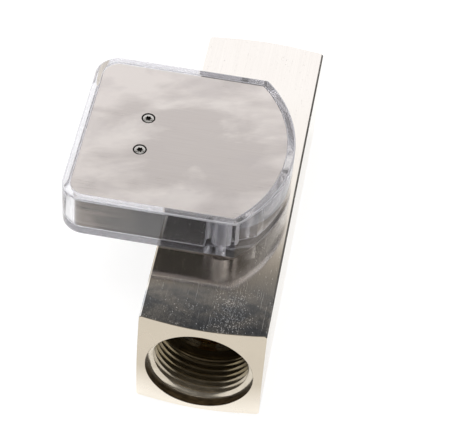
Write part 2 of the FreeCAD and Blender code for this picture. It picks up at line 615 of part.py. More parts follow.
def pointer():
    """Needle on the reading side of the dial; it points away from the bar."""
    top = POINTER_HUB_Z + POINTER_HUB_HEIGHT
    blade_low = POINTER_HUB_Z + (POINTER_HUB_HEIGHT - POINTER_BLADE) / 2
    blade_high = blade_low + POINTER_BLADE
    needle = post(POINTER_HUB_R, POINTER_HUB_Z, top, 0, 0)
    needle = needle.fuse(tapered_strip(0, POINTER_ROOT_HALF, -POINTER_LENGTH, POINTER_TIP_HALF, blade_low, blade_high))
    needle = needle.fuse(tapered_strip(0, POINTER_ROOT_HALF, POINTER_TAIL, POINTER_ROOT_HALF, blade_low, blade_high))
    needle = needle.cut(post(SPINDLE_R + PIECE_FIT, POINTER_HUB_Z - PAST, top + PAST, 0, 0))
    return turn_with_spindle(needle.removeSplitter())


def pair(make_one, offset):
    """Two like fasteners as one group."""
    return Part.makeCompound([make_one(y) for y in both_sides(offset)])


NODES = {
    "measuring_body": measuring_body(),
    "measuring_sleeve": measuring_sleeve(),
    "sleeve_o_ring": sleeve_o_ring(),
    "inlet_guide": inlet_guide(),
    "outlet_guide": outlet_guide(),
    "guide_rod": guide_rod(),
    "retaining_rings": Part.makeCompound([retaining_ring(-1), retaining_ring(1)]),
    "float_body": float_body(),
    "float_magnet": float_magnet(),
    "float_cap": float_cap(),
    "float_spring": float_spring(),
    "display_housing": display_housing(),
    "housing_screws": pair(housing_screw, HOUSING_SCREW_OFFSET),
    "back_plate": back_plate(),
    "back_plate_seal": back_plate_seal(),
    "back_plate_screws": pair(back_plate_screw, PLATE_SCREW_SPACING / 2),
    "bearing_bracket": bearing_bracket(),
    "upper_bush": bush(PLATE_BOTTOM_Z, UPPER_STRIP_Z),
    "lower_bush": bush(DIAL_TOP_Z, STRIP_TOP_Z),
    "pointer_spindle": pointer_spindle(),
    "arm_hub": arm_hub(),
    "follower_arm": follower_arm(),
    "follower_magnet": follower_magnet(),
    "counterweight": counterweight(),
    "dial_plate": dial_plate(),
    "dial_screws": pair(dial_screw, PLATE_SCREW_SPACING / 2),
    "pointer": pointer(),
}

os.makedirs("parts", exist_ok=True)
for name, shape in NODES.items():
    shape.exportStep(os.path.join("parts", name + ".step"))
    print(name, len(shape.Solids), shape.isValid(), round(shape.Volume, 2))
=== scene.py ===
import bmesh
import bpy
import json
import math
from mathutils import Matrix, Vector


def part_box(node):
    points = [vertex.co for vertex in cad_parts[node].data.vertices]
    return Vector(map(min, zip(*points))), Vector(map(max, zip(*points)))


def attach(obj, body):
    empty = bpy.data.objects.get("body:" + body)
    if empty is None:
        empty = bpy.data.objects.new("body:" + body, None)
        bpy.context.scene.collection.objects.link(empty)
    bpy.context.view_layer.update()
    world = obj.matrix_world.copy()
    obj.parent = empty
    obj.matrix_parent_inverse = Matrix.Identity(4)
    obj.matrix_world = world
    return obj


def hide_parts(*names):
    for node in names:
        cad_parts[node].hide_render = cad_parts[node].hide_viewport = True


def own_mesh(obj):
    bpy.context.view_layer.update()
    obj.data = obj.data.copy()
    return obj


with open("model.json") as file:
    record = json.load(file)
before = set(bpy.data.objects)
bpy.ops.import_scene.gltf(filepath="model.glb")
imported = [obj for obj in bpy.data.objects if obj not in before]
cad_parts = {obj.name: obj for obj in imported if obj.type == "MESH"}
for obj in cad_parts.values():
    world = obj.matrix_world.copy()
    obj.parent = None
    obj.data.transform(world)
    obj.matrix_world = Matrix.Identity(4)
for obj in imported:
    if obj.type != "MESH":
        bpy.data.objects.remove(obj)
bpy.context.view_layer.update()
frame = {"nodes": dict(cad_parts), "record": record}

# Variable area flow meter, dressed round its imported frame.
# Shapes are worked out in millimetres; a mesh is scaled to metres when it is made.
MM = 0.001
TAU = 2 * math.pi
WHITE = (1.0, 1.0, 1.0, 1.0)


def corners(node):
    """Lowest and highest corner of a node of the frame, in millimetres."""
    low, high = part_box(node)
    return low / MM, high / MM


def whole_turn(falling):
    """One turn of a thread from its falling half, as shares of the pitch and of the depth."""
    return falling + [(1 - share, depth) for share, depth in reversed(falling[1:-1])]


BODY_HIGH = corners("measuring_body")[1]
HOUSING_LOW, HOUSING_HIGH = corners("display_housing")
PLATE_LOW, PLATE_HIGH = corners("back_plate")
SEAL_LOW = corners("back_plate_seal")[0]
GUIDE_LOW = corners("inlet_guide")[0]
PLATE_SCREW_LOW, PLATE_SCREW_HIGH = corners("back_plate_screws")
HOUSING_SCREW_LOW, HOUSING_SCREW_HIGH = corners("housing_screws")
SPRING_LOW, SPRING_HIGH = corners("float_spring")
SPINDLE_LOW, SPINDLE_HIGH = corners("pointer_spindle")

# Motion
FLOAT_STROKE = 24.0
POINTER_RATIO = 32.4149         # radians that the pointer turns for each metre of the float's slide

# Bar
HALF_WIDTH = BODY_HIGH.x
AXIS_Z = BODY_HIGH.z / 2
MOUTH_Y = BODY_HIGH.y
BAR_EDGE_CHAMFER = 0.6
BAR_END_BREAK = 0.14
END_CONE_RISE = 2.42            # how far an end slopes back from its mouth to the bar's corners
MOUTH_R = 17.1845
RECESS_DEPTH = 2.7
RECESS_Y = MOUTH_Y - RECESS_DEPTH
RECESS_EDGE_BREAK = 0.12
THREAD_ROOT_R = 33.249 / 2
THREAD_DEPTH = 1.479
THREAD_PITCH = 2.309
PORT_DEPTH = 19.0
PORT_FLOOR_Y = MOUTH_Y - PORT_DEPTH
BORE_R = 13.0
GROOVE_R = 13.8
GROOVE_OFFSET = 1.5             # from a port's floor to the groove of its retaining ring
GROOVE_OUTER_Y = PORT_FLOOR_Y - GROOVE_OFFSET
GROOVE_INNER_Y = -GUIDE_LOW.y
BAR_STEPS = 180
# A rounded 55 degree thread
THREAD_PROFILE = whole_turn([
    (0.0, 1.0), (0.06, 0.97), (0.11, 0.87), (0.18, 0.69), (0.25, 0.5), (0.32, 0.31), (0.39, 0.13),
    (0.44, 0.03), (0.5, 0.0),
])

# Wear on the bar, painted shade by the housing and a painted reflection on the end faces. A pair of limits
# is where a mark begins and is full, or starts to fade and is gone
SCUFF_PLACE = Vector((7.5, -57.0, BODY_HIGH.z))
SCUFF_HALF = (7.0, 16.0, 20.0)
HANDLED_Y = (-43.0, -54.0)
# Painted shade, brownish, on the bar's top in front of and under the housing
HOUSING_SHADE_START_Y = (-51.0, -47.0)
HOUSING_SHADE_END_Y = (-30.0, -26.0)
HOUSING_SHADE_END_X = (5.0, 15.0)
HOUSING_SHADE_Z = (BODY_HIGH.z - 1.0, BODY_HIGH.z - 0.5)
HOUSING_SHADE_SHARE = 0.85
# Painted reflection of the floor, lighter towards the foot of each end face
FLOOR_SHEEN_FOOT = (-2.0, -18.0)     # on the end faces, from the height of the flow axis
TURNED_RINGS = 5200.0           # turning marks to a metre
# over the same turns the painted shade deep in the port gives way to the lit plating
PLATED_TURNS = 3                # turns of the thread over which the plating gives out

# Clear housing
HOUSING_MIDDLE_Y = (HOUSING_LOW.y + HOUSING_HIGH.y) / 2
HOUSING_HALF = (HOUSING_HIGH.y - HOUSING_LOW.y) / 2
ARC_R = 46.4
ARC_X = HOUSING_HIGH.x - ARC_R
CORNER_R = 8.0
ARC_CORNER_R = 1.4
PLATE_CORNER_R = 0.8
RIM = 2.6
WALL = 3.2
FLOOR_THICKNESS = 1.4
FLOOR_Z = HOUSING_LOW.z + FLOOR_THICKNESS
LEDGE_Z = SEAL_LOW.z
EDGE_ROUND = 0.5
RIM_INNER_ROUND = 0.25
FLOOR_FILLET = 0.6
HOUSING_AIR_GAP = 0.04          # between the clear floor and the bar beneath it
PILLAR_HALF = 5.0
PILLAR_EDGE_R = 2.0
PILLAR_FACE_MARGIN = 0.1
SCREW_INSET = 5.5               # from the housing's side to the middle of a pillar's screw
SCREW_OFFSET = HOUSING_HALF - SCREW_INSET
SCREW_YS = [HOUSING_MIDDLE_Y - SCREW_OFFSET, HOUSING_MIDDLE_Y + SCREW_OFFSET]
SCREW_HOLE_R = 1.7
SCREW_SINK_R = 3.15
SCREW_SINK_DEPTH = 10.2
SCREW_SEAT_Z = LEDGE_Z - SCREW_SINK_DEPTH
ROUND_STEPS = 5
HOLE_STEPS = 48
ARC_STEPS = 96
ARC_CORNER_STEPS = 8
CORNER_STEPS = 20
CAVITY_ARC_STEPS = 72
CAVITY_CORNER_STEPS = 16
PILLAR_STEPS = 10

# Back plate
PLATE_GAP = 0.1
PLATE_INSET = RIM + PLATE_GAP
PLATE_EDGE_BREAK = 0.12
PIVOT_X = (SPINDLE_LOW.x + SPINDLE_HIGH.x) / 2
PIVOT_Y = (SPINDLE_LOW.y + SPINDLE_HIGH.y) / 2
PLATE_SCREW_OFFSET = 14.3 / 2
PLATE_SCREW_YS = [PIVOT_Y - PLATE_SCREW_OFFSET, PIVOT_Y + PLATE_SCREW_OFFSET]
COUNTERSINK_R = 2.27
COUNTERSINK_WALL = 0.38
PLATE_HOLE_R = 1.35
# Painted reflection: the plate is darker about this place
DARK_REFLECTION_PLACE = Vector((-12.0, -2.0, PLATE_HIGH.z))    # middle of the plate's duller patch
DARK_REFLECTION_HALF = (30.0, 24.0, 30.0)

# Screws: a head's edge is how far in and how far down, a thread is a radius and a pitch
PLATE_HEAD_R = 1.8
PLATE_HEAD_SINK = 0.05
PLATE_HEAD_WALL = 0.3
PLATE_HEAD_EDGE = [(0.16, 0.0), (0.04, 0.05), (0.0, 0.14)]
PLATE_THREAD = (1.25, 0.45)
PLATE_DRIVE_R = 0.88
HOUSING_HEAD_R = 2.75
HOUSING_HEAD_LENGTH = 2.4
HOUSING_HEAD_BREAK = 0.1
HOUSING_HEAD_EDGE = [(0.5, 0.0), (0.15, 0.1), (0.0, 0.4)]
HOUSING_THREAD = (1.5, 0.5)
HOUSING_DRIVE_R = 1.2
SCREW_PROFILE = whole_turn([(0.0, 1.0), (0.12, 0.9), (0.4, 0.1), (0.5, 0.0)])
SCREW_THREAD_DEPTH = 0.6        # share of the pitch
SCREW_TIP = 0.8                 # share of the thread's root radius
SCREW_STEPS = 60
# Six-lobe drive, in shares of its radius, apart from its broken edge
DRIVE_LOBES = 6
DRIVE_LOBE_HEIGHT = 0.16
DRIVE_DEPTH = 1.05
DRIVE_POINT_DEPTH = 1.3 * DRIVE_DEPTH
DRIVE_POINT_R = 0.3
DRIVE_FLOOR_R = 0.92
DRIVE_MOUTH_R = 1.07
DRIVE_EDGE_BREAK = 0.08

# Spring
SPRING_WIRE_R = 0.3
SPRING_TURNS = 7
SPRING_R = SPRING_HIGH.x - SPRING_WIRE_R
SPRING_END_DRAW = 0.85          # how much the end turns are drawn together, up to 1
SPRING_TURN_STEPS = 48
SPRING_SECTION_STEPS = 10
SPRING_LENGTH = SPRING_HIGH.y - SPRING_LOW.y

# Dial, with a scale printed on its reading side
DIAL_HEIGHT = 2.3               # from the housing's floor to the dial's face
DIAL_FACE_Z = FLOOR_Z + DIAL_HEIGHT
# Painted shade on the dial, darker towards the bar
DIAL_SHADE_X = (-46.0, -25.0)
SCALE_SWEEP = math.degrees(POINTER_RATIO * FLOAT_STROKE * MM)
SCALE_R = 13.4
SCALE_LINE = 0.16
SCALE_PARTS = 20
SCALE_PARTS_PER_NUMBER = 5
SCALE_STEP_VALUE = 2
SCALE_ARC_STEPS = 40
TICK_LENGTH = 0.9
LONG_TICK_LENGTH = 1.6
NUMBER_R = 11.8
NUMBER_SIZE = 1.5
PRINT_THICKNESS = 0.04

# Camera, in millimetres in the same frame
CAMERA_PLACE = Vector((45.159, -437.674, 513.005))
CAMERA_AIM = Vector((-1.488, -7.877, 28.0))
CAMERA_ROLL = math.radians(4.5923)
CAMERA_LENS = 156.7525
CAMERA_SENSOR = 36.0
CAMERA_NEAR = 10.0
CAMERA_FAR = 20000.0

# Studio
FLOOR_SIZE = 6000.0
FLOOR_GLOW = 0.8
# Colours by the sine of the elevation. Behind: a white sweep, a dark gap above it and soft light overhead
REAR_STUDIO = [
    (0.0, (1.0, 1.0, 1.0)), (0.70, (1.12, 1.105, 1.12)), (0.738, (1.03, 1.0, 0.965)),
    (0.75, (0.80, 0.755, 0.71)), (0.757, (0.38, 0.34, 0.29)), (0.766, (0.20, 0.186, 0.168)),
    (0.772, (0.175, 0.171, 0.169)), (0.777, (0.072, 0.071, 0.070)), (0.785, (0.045, 0.045, 0.047)),
    (0.835, (0.045, 0.045, 0.048)), (0.90, (1.0, 1.0, 1.0)),
]
# In front: a dim room under the same soft light
FRONT_STUDIO = [
    (0.0, (0.10, 0.095, 0.09)), (0.45, (0.09, 0.085, 0.08)), (0.65, (0.19, 0.175, 0.165)),
    (0.87, (0.17, 0.16, 0.15)), (0.92, (1.0, 1.0, 1.0)),
]
# Directions between which the sweep and a warm screen on the right come in
SWEEP_Y = (-0.2, 0.2)
SWEEP_X = (0.7, 0.5)
SCREEN_X = (0.35, 0.55)
SCREEN_Z = (0.5, 0.6)
SCREEN_COLOUR = (0.92, 0.86, 0.79, 1.0)
# Name, place, size and watts of each lamp
LAMPS = [
    ("overhead_lamp", (-250, -150, 900), 700, 3.6),
    ("side_lamp", (700, -300, 600), 500, 1.4),
]

MERGE_DISTANCE = 0.0005
SHARP_ANGLE = math.radians(34)
FREE_UNTIL = 1                  # reflections in the clear plastic before light starts to leave it again
GONE_AFTER = 3                  # reflections by which all light has left it
SCATTERED_SHARE = 0.45          # of the light that leaves it so; the rest goes straight on


# Finishes

def shade(colour, factor=1.0):
    """The same colour, darker or lighter, as a node wants it."""
    return (colour[0] * factor, colour[1] * factor, colour[2] * factor, 1.0)


def per_size(sizes):
    """Scale of a pattern whose cells have these sizes in millimetres."""
    return [1 / (size * MM) for size in sizes]


class Nodes:
    """A node tree with short ways to add nodes to it."""

    def __init__(self, tree):
        self.tree = tree

    def node(self, kind, inputs=(), **settings):
        """New shader node; an input is another node's output or a plain value."""
        made = self.tree.nodes.new("ShaderNode" + kind)
        for name, value in settings.items():
            setattr(made, name, value)
        for socket, value in dict(inputs).items():
            if isinstance(value, bpy.types.NodeSocket):
                self.tree.links.new(value, made.inputs[socket])
            else:
                made.inputs[socket].default_value = value
        return made

    def span(self, value, low=0.0, high=1.0, start=0.3, end=0.7):
        """Value from start to end carried over to low to high."""
        made = self.node("MapRange", {
            "Value": value, "From Min": start, "From Max": end, "To Min": low, "To Max": high})
        return made.outputs["Result"]

    def fade(self, value, limits, low=0.0, high=1.0):
        """Low to high between two limits in millimetres."""
        return self.span(value, low, high, limits[0] * MM, limits[1] * MM)

    def blend(self, share, first, second):
        """Colour between two others."""
        return self.node("Mix", {0: share, 6: first, 7: second}, data_type="RGBA").outputs[2]

    def calculate(self, operation, first, *others):
        """A value changed by an operation, with each of the others in turn."""
        for other in others or (0.0,):
            first = self.node("Math", {0: first, 1: other}, operation=operation).outputs[0]
        return first

    def add(self, *values):
        return self.calculate("ADD", *values)

    def larger(self, *values):
        return self.calculate("MAXIMUM", *values)

    def multiply(self, *values):
        return self.calculate("MULTIPLY", *values)

    def axes(self, vector):
        """The parts of a vector along X, Y and Z."""
        return self.node("SeparateXYZ", {"Vector": vector}).outputs

    def length(self, vector):
        return self.node("VectorMath", {0: vector}, operation="LENGTH").outputs["Value"]


class Finish(Nodes):
    """A material with short ways to layer procedural detail on one Principled shader."""

    def __init__(self, name, sockets):
        self.material = bpy.data.materials.new(name)
        self.material.use_nodes = True
        super().__init__(self.material.node_tree)
        self.shader = self.tree.nodes["Principled BSDF"]
        for socket, value in sockets.items():
            self.shader.inputs[socket].default_value = value
        self.place = self.node("TexCoord").outputs["Object"]

    def noise(self, grain, detail=3.0, shift=(0.0, 0.0, 0.0), distortion=0.0, turn=0.0):
        """Noise in grains of about these millimetres along X, Y and Z, turned about Z by degrees."""
        turned = self.node("VectorRotate", {"Vector": self.place, "Angle": math.radians(turn)},
                           rotation_type="Z_AXIS")
        mapping = self.node("Mapping", {
            "Vector": turned.outputs["Vector"], "Scale": per_size(grain), "Location": shift})
        made = self.node("TexNoise", {
            "Vector": mapping.outputs["Vector"], "Scale": 1.0, "Detail": detail, "Distortion": distortion})
        return made.outputs["Fac"]

    def specks(self, cell, share):
        """Small specks in a share of the cells, which measure about these millimetres along X, Y and Z."""
        mapping = self.node("Mapping", {"Vector": self.place, "Scale": per_size(cell)})
        cells = self.node("TexVoronoi", {"Vector": mapping.outputs["Vector"], "Scale": 1.0})
        lot = self.node("SeparateColor", {"Color": cells.outputs["Color"]}).outputs["Red"]
        speck = self.span(cells.outputs["Distance"], 1.0, 0.0, 0.25, 0.45)
        return self.multiply(speck, self.calculate("GREATER_THAN", share, lot))

    def reach(self, middle, half_size):
        """Distance from the middle of a patch, in shares of its half sizes."""
        offset = self.node("VectorMath", {0: self.place, 1: middle * MM}, operation="SUBTRACT")
        share = self.node("VectorMath", {0: offset.outputs["Vector"], 1: per_size(half_size)},
                          operation="MULTIPLY")
        return self.length(share.outputs["Vector"])

    def facing(self):
        """The parts of the surface's normal along X, Y and Z."""
        return self.axes(self.node("NewGeometry").outputs["Normal"])

    def feed(self, socket, value):
        self.tree.links.new(value, self.shader.inputs[socket])

    def done(self, tone, gloss, height, depth):
        """The material with a colour, a roughness and relief of depth millimetres from a height up to 1."""
        bump = self.node("Bump", {"Height": height, "Strength": 1.0, "Distance": depth * MM})
        self.feed("Base Color", tone)
        self.feed("Roughness", gloss)
        self.feed("Normal", bump.outputs["Normal"])
        return self.material

    def mix(self, share, first, second):
        """Shader between two others."""
        return self.node("MixShader", {0: share, 1: first, 2: second}).outputs["Shader"]

    def show(self, shader):
        """Puts a shader on the surface in the place of the plain Principled one."""
        self.tree.links.new(shader, self.tree.nodes["Material Output"].inputs["Surface"])


def grained_metal(name, colour, roughness, grain, variation=0.12, relief=0.004):
    """Metal with a directional grain in its colour, gloss and relief, under faint cloudy tarnish."""
    finish = Finish(name, {"Metallic": 1.0})
    lines = finish.noise(grain, detail=4.0)
    clouds = finish.noise((5.0, 5.0, 5.0), shift=(3.0, 1.0, 7.0))
    dark = shade(colour, 1 - variation)
    light = shade(colour, 1 + variation / 2)
    tone = finish.blend(finish.span(lines), dark, light)
    tone = finish.blend(finish.span(clouds, 0.0, 0.35, 0.45, 0.8), tone, shade(colour, 0.72))
    gloss = finish.span(clouds, roughness - 0.03, roughness + 0.06)
    gloss = finish.add(finish.span(lines, -0.06, 0.06), gloss)
    return finish.done(tone, gloss, lines, relief)


def mottled(name, sockets, grain, detail, dark, light, gloss, relief, limits=(0.3, 0.7)):
    """Surface that goes from dark to light between the limits of a noise, with gloss and relief alike."""
    finish = Finish(name, sockets)
    mottle = finish.noise(grain, detail)
    tone = finish.blend(finish.span(mottle, 0.0, 1.0, *limits), shade(dark), shade(light))
    return finish.done(tone, finish.span(mottle, *gloss), mottle, relief)


def bar_sides():
    """Drawn bar under bright nickel: a soft mirror with fine lines along the flow, worn at the inlet.
    Painted shade darkens its top in front of and under the housing, and its side faces.
    """
    nickel = (0.89, 0.86, 0.815)
    clouded = (0.80, 0.74, 0.67)
    shaded_nickel = (0.50, 0.435, 0.35)
    stained = (0.46, 0.49, 0.53)
    # painted shade for the side faces
    beside = (0.66, 0.60, 0.51)
    finish = Finish("bar_sides", {"Metallic": 1.0, "Anisotropic": 0.9})
    around = finish.node("Tangent", direction_type="RADIAL", axis="Y")
    finish.feed("Tangent", around.outputs["Tangent"])
    place = finish.axes(finish.place)
    handled = finish.fade(place["Y"], HANDLED_Y)

    lines = finish.noise((0.25, 40.0, 0.25), detail=5.0)
    clouds = finish.noise((14.0, 22.0, 14.0), shift=(2.0, 5.0, 1.0))
    # painted shade on the top in front of and under the housing; it also roughens the top a little
    housing_shade = finish.multiply(
        finish.fade(place["Y"], HOUSING_SHADE_START_Y, 0.0, HOUSING_SHADE_SHARE),
        finish.fade(place["Y"], HOUSING_SHADE_END_Y, 1.0, 0.0),
        finish.fade(place["Z"], HOUSING_SHADE_Z),
        finish.fade(place["X"], HOUSING_SHADE_END_X, 1.0, 0.0))
    stains = finish.noise((8.0, 5.0, 8.0), detail=4.0, shift=(6.0, 1.0, 4.0), distortion=0.5)
    stains = finish.multiply(finish.span(stains, 0.0, 0.8, 0.4, 0.6), handled)
    # painted shade: the side faces darker than the top
    sideways = finish.calculate("ABSOLUTE", finish.facing()["X"])
    tone = finish.blend(finish.span(lines), shade(nickel, 0.97), shade(nickel, 1.02))
    tone = finish.blend(finish.span(clouds, 0.0, 0.12, 0.45, 0.75), tone, shade(clouded))
    tone = finish.blend(housing_shade, tone, shade(shaded_nickel))
    tone = finish.blend(stains, tone, shade(stained))
    tone = finish.blend(finish.span(sideways, 0.0, 1.0, 0.8, 0.95), tone, shade(beside))

    streaks = finish.noise((0.5, 9.0, 0.5), shift=(4.0, 2.0, 8.0))
    scuffed = finish.span(finish.reach(SCUFF_PLACE, SCUFF_HALF), 0.75, 0.0, 0.0, 1.0)
    scuff_and_sheen = finish.add(scuffed, finish.span(streaks, -0.5, 0.35))
    dots = finish.specks((0.3, 0.4, 0.3), finish.add(finish.multiply(handled, 0.015), scuff_and_sheen))
    scratches = finish.noise((0.12, 14.0, 0.12), detail=1.0, shift=(9.0, 3.0, 4.0))
    scratches = finish.larger(finish.span(scratches, 0.0, 0.5, 0.73, 0.77), dots)
    mottle = finish.noise((0.8, 1.5, 0.8), detail=4.0, shift=(5.0, 1.0, 3.0))
    dulled_and_shaded = finish.multiply(finish.span(mottle), handled)
    gloss = finish.add(
        finish.span(lines, 0.055, 0.08), finish.multiply(dulled_and_shaded, 0.05),
        finish.multiply(housing_shade, 0.08), finish.multiply(scratches, 0.6))
    relief = finish.add(finish.multiply(lines, 0.4), finish.multiply(dulled_and_shaded, 0.5))
    return finish.done(tone, gloss, relief, 0.0025)


def bar_ends():
    """Turned end faces under nickel, with fine rings about the port and a painted reflection of the floor
    that lightens the foot.
    """
    nickel = (0.60, 0.535, 0.437)
    scuff_and_sheen = (0.95, 0.88, 0.77)
    finish = Finish("bar_ends", {"Metallic": 1.0})
    place = finish.axes(finish.place)
    height = finish.calculate("SUBTRACT", place["Z"], AXIS_Z * MM)
    from_axis = finish.node("CombineXYZ", {"X": place["X"], "Y": height})
    radius = finish.length(from_axis.outputs["Vector"])
    rings = finish.node("TexNoise", {"W": radius, "Scale": TURNED_RINGS, "Detail": 3.0},
                        noise_dimensions="1D")
    clouds = finish.noise((9.0, 9.0, 9.0), detail=4.0)
    tone = finish.blend(finish.span(clouds), shade(nickel, 0.95), shade(nickel, 1.02))
    # painted reflection of the floor: the foot lighter
    tone = finish.blend(finish.fade(height, FLOOR_SHEEN_FOOT), tone, shade(scuff_and_sheen))
    return finish.done(tone, finish.span(clouds, 0.2, 0.32), rings.outputs["Fac"], 0.0025)


def bar_thread():
    """Cut thread and bore: plated on the first turns, and unplated brass further in, painted darker there
    as shade deep in the port.
    """
    shaded_brass = (0.27, 0.22, 0.13)
    plated = (0.78, 0.71, 0.59)
    finish = Finish("bar_thread", {"Metallic": 0.75})
    station = finish.calculate("ABSOLUTE", finish.axes(finish.place)["Y"])
    worn = finish.noise((3.0, 1.5, 3.0))
    near_mouth = finish.fade(station, (RECESS_Y - PLATED_TURNS * THREAD_PITCH, RECESS_Y))
    plating_and_light = finish.add(near_mouth, finish.span(worn, -0.15, 0.15))
    # painted shade: dark brass deep in the port, light plating near the mouth
    tone = finish.blend(plating_and_light, shade(shaded_brass), shade(plated))
    tool_marks = finish.noise((0.5, 0.08, 0.5), detail=2.0)
    return finish.done(tone, finish.span(worn, 0.12, 0.24), tool_marks, 0.004)


def bar_recess():
    """Wall of the mouth's recess, very dark, with little shine."""
    dark = (0.018, 0.012, 0.006)
    light = (0.09, 0.062, 0.032)
    return mottled("bar_recess", {"Specular IOR Level": 0.06}, (3.0, 0.8, 3.0), 4.0, dark, light,
                   gloss=(0.35, 0.6), relief=0.01)


def clear_plastic(name, tint, haze, roughness, grain=(7.0, 0.5, 0.5)):
    """Clear plastic with a faint lilac cast, haze and hairline marks.

    Light that is reflected in it more than once leaves it, straight on or scattered.
    Lamps shine through it.
    """
    finish = Finish(name, {"IOR": 1.49, "Transmission Weight": 1.0 - haze})
    marks = finish.noise(grain, detail=4.0, distortion=0.4)
    tone = finish.blend(finish.span(marks), shade(tint, 0.93), shade(tint, 1.04))
    clouds = finish.noise((11.0, 11.0, 11.0), detail=2.0, shift=(6.0, 2.0, 9.0))
    gloss = finish.span(clouds, roughness, roughness + 0.02)
    gloss = finish.add(finish.span(marks, 0.0, 0.03, 0.6, 0.75), gloss)
    ripples = finish.noise((16.0, 16.0, 16.0), detail=1.0)
    leaking = finish.node("BsdfTransparent", {"Color": (0.80, 0.80, 0.86, 1.0)})
    scattering = finish.node("BsdfDiffuse", {"Color": (0.84, 0.82, 0.83, 1.0)})
    passing = finish.node("BsdfTransparent", {"Color": (0.90, 0.90, 0.93, 1.0)})
    path = finish.node("LightPath").outputs
    trapped = finish.span(path["Glossy Depth"], 0.0, 1.0, FREE_UNTIL, GONE_AFTER)
    loose = finish.mix(SCATTERED_SHARE, leaking.outputs["BSDF"], scattering.outputs["BSDF"])
    body = finish.mix(trapped, finish.shader.outputs["BSDF"], loose)
    finish.show(finish.mix(path["Is Shadow Ray"], body, passing.outputs["BSDF"]))
    return finish.done(tone, gloss, ripples, 0.02)


def brushed_plate():
    """Stainless sheet brushed along X, with cloudy smudges that soften the shine, and painted reflections:
    darker about the middle, with cloudy warm light patches and dark ones.
    """
    reflected_dark = (0.675, 0.625, 0.60)
    clean = (0.90, 0.845, 0.81)
    brushed = (0.95, 0.93, 0.91)
    reflected_patch = (0.66, 0.615, 0.605)
    reflected_light = (0.93, 0.89, 0.85)
    finish = Finish("brushed_plate", {"Metallic": 1.0})
    brush = finish.noise((12.0, 0.16, 0.3), detail=5.0)
    smudge_and_reflection = finish.noise((24.0, 12.0, 20.0), detail=7.0, shift=(17.5, 11.8, 2.0), distortion=0.25,
                          turn=-20.0)
    patch = finish.noise((22.0, 15.0, 16.0), detail=6.0, shift=(17.3, 20.7, 5.0), distortion=0.2)
    # painted reflection: darker about the middle and in cloudy patches, lighter in others; the smudges also
    # soften the shine
    outward = finish.add(finish.reach(DARK_REFLECTION_PLACE, DARK_REFLECTION_HALF), finish.span(smudge_and_reflection, -0.7, 0.7))
    tone = finish.blend(finish.span(outward, 0.0, 1.0, 0.6, 1.2), shade(reflected_dark), shade(clean))
    tone = finish.blend(finish.span(brush, 0.0, 0.2), tone, shade(brushed))
    tone = finish.blend(finish.span(patch, 0.0, 0.35, 0.5, 0.58), tone, shade(reflected_patch))
    tone = finish.blend(finish.span(smudge_and_reflection, 0.0, 0.4, 0.55, 0.66), tone, shade(reflected_light))
    gloss = finish.add(finish.span(brush, -0.05, 0.05), finish.span(smudge_and_reflection, 0.30, 0.40))
    return finish.done(tone, gloss, brush, 0.004)


def black_rubber():
    """Black elastomer with a faint bloom."""
    dark = (0.012, 0.012, 0.013)
    light = (0.05, 0.05, 0.05)
    finish = Finish("black_rubber", {"Specular IOR Level": 0.4})
    bloom = finish.noise((1.2, 1.2, 1.2), detail=4.0)
    pores = finish.noise((0.15, 0.15, 0.15), detail=2.0)
    tone = finish.blend(bloom, shade(dark), shade(light))
    return finish.done(tone, finish.span(bloom, 0.4, 0.62), pores, 0.006)


def grey_seal():
    """Porous grey sealing strip."""
    dark = (0.23, 0.23, 0.245)
    light = (0.42, 0.42, 0.44)
    return mottled("seal", {}, (0.35, 0.35, 0.35), 4.0, dark, light, gloss=(0.55, 0.8), relief=0.02,
                   limits=(0.0, 1.0))


def ferrite():
    """Dark sintered ferrite with ground faces and fine light specks."""
    dark = (0.045, 0.045, 0.05)
    light = (0.17, 0.17, 0.18)
    finish = Finish("ferrite", {"Metallic": 0.35})
    specks = finish.noise((0.25, 0.25, 0.25), detail=5.0)
    ground = finish.noise((0.3, 6.0, 0.3))
    tone = finish.blend(finish.span(specks, 0.0, 1.0, 0.45, 0.75), shade(dark), shade(light))
    return finish.done(tone, finish.span(ground, 0.38, 0.56), specks, 0.008)


def dial_faces():
    """Dial: white enamel on the reading side, bare grey metal elsewhere, with painted shade that darkens it
    towards the bar and blackens its end face that faces the bar.
    """
    dark_grey = (0.08, 0.062, 0.045)
    light_grey = (0.28, 0.23, 0.18)
    cast_grey = (0.42, 0.35, 0.285)
    dial_shade_black = (0.022, 0.018, 0.014)
    white = (0.76, 0.76, 0.74)
    light_white = (0.82, 0.82, 0.81)
    finish = Finish("dial", {"Specular IOR Level": 0.1})
    facing = finish.facing()
    back = finish.span(facing["Z"], 0.0, 1.0, -0.7, -0.3)
    # painted shade: darker towards the bar, and nearly black on the end face that faces it
    end_face_shade = finish.span(facing["X"], 0.0, 1.0, 0.5, 0.9)
    dulled_and_shaded = finish.fade(finish.axes(finish.place)["X"], DIAL_SHADE_X)
    rolled = finish.noise((16.0, 1.0, 0.9), detail=4.0)
    cast = finish.noise((9.0, 9.0, 9.0), shift=(2.0, 4.0, 6.0))
    orange_peel = finish.noise((0.8, 0.8, 0.8))
    metal = finish.blend(finish.span(rolled), shade(dark_grey), shade(light_grey))
    metal = finish.blend(finish.span(cast, 0.0, 0.7, 0.4, 0.65), metal, shade(cast_grey))
    metal = finish.blend(finish.larger(dulled_and_shaded, end_face_shade), metal, shade(dial_shade_black))
    enamel = finish.blend(orange_peel, shade(white), shade(light_white))
    tone = finish.blend(back, enamel, metal)
    return finish.done(tone, finish.span(orange_peel, 0.5, 0.62), orange_peel, 0.004)


def lacquer(name, dark, light):
    """Thin gloss lacquer with slight orange peel."""
    coat = {"Coat Weight": 0.3, "Coat Roughness": 0.15}
    return mottled(name, coat, (0.6, 0.6, 0.6), 3.0, dark, light, gloss=(0.32, 0.46), relief=0.004)


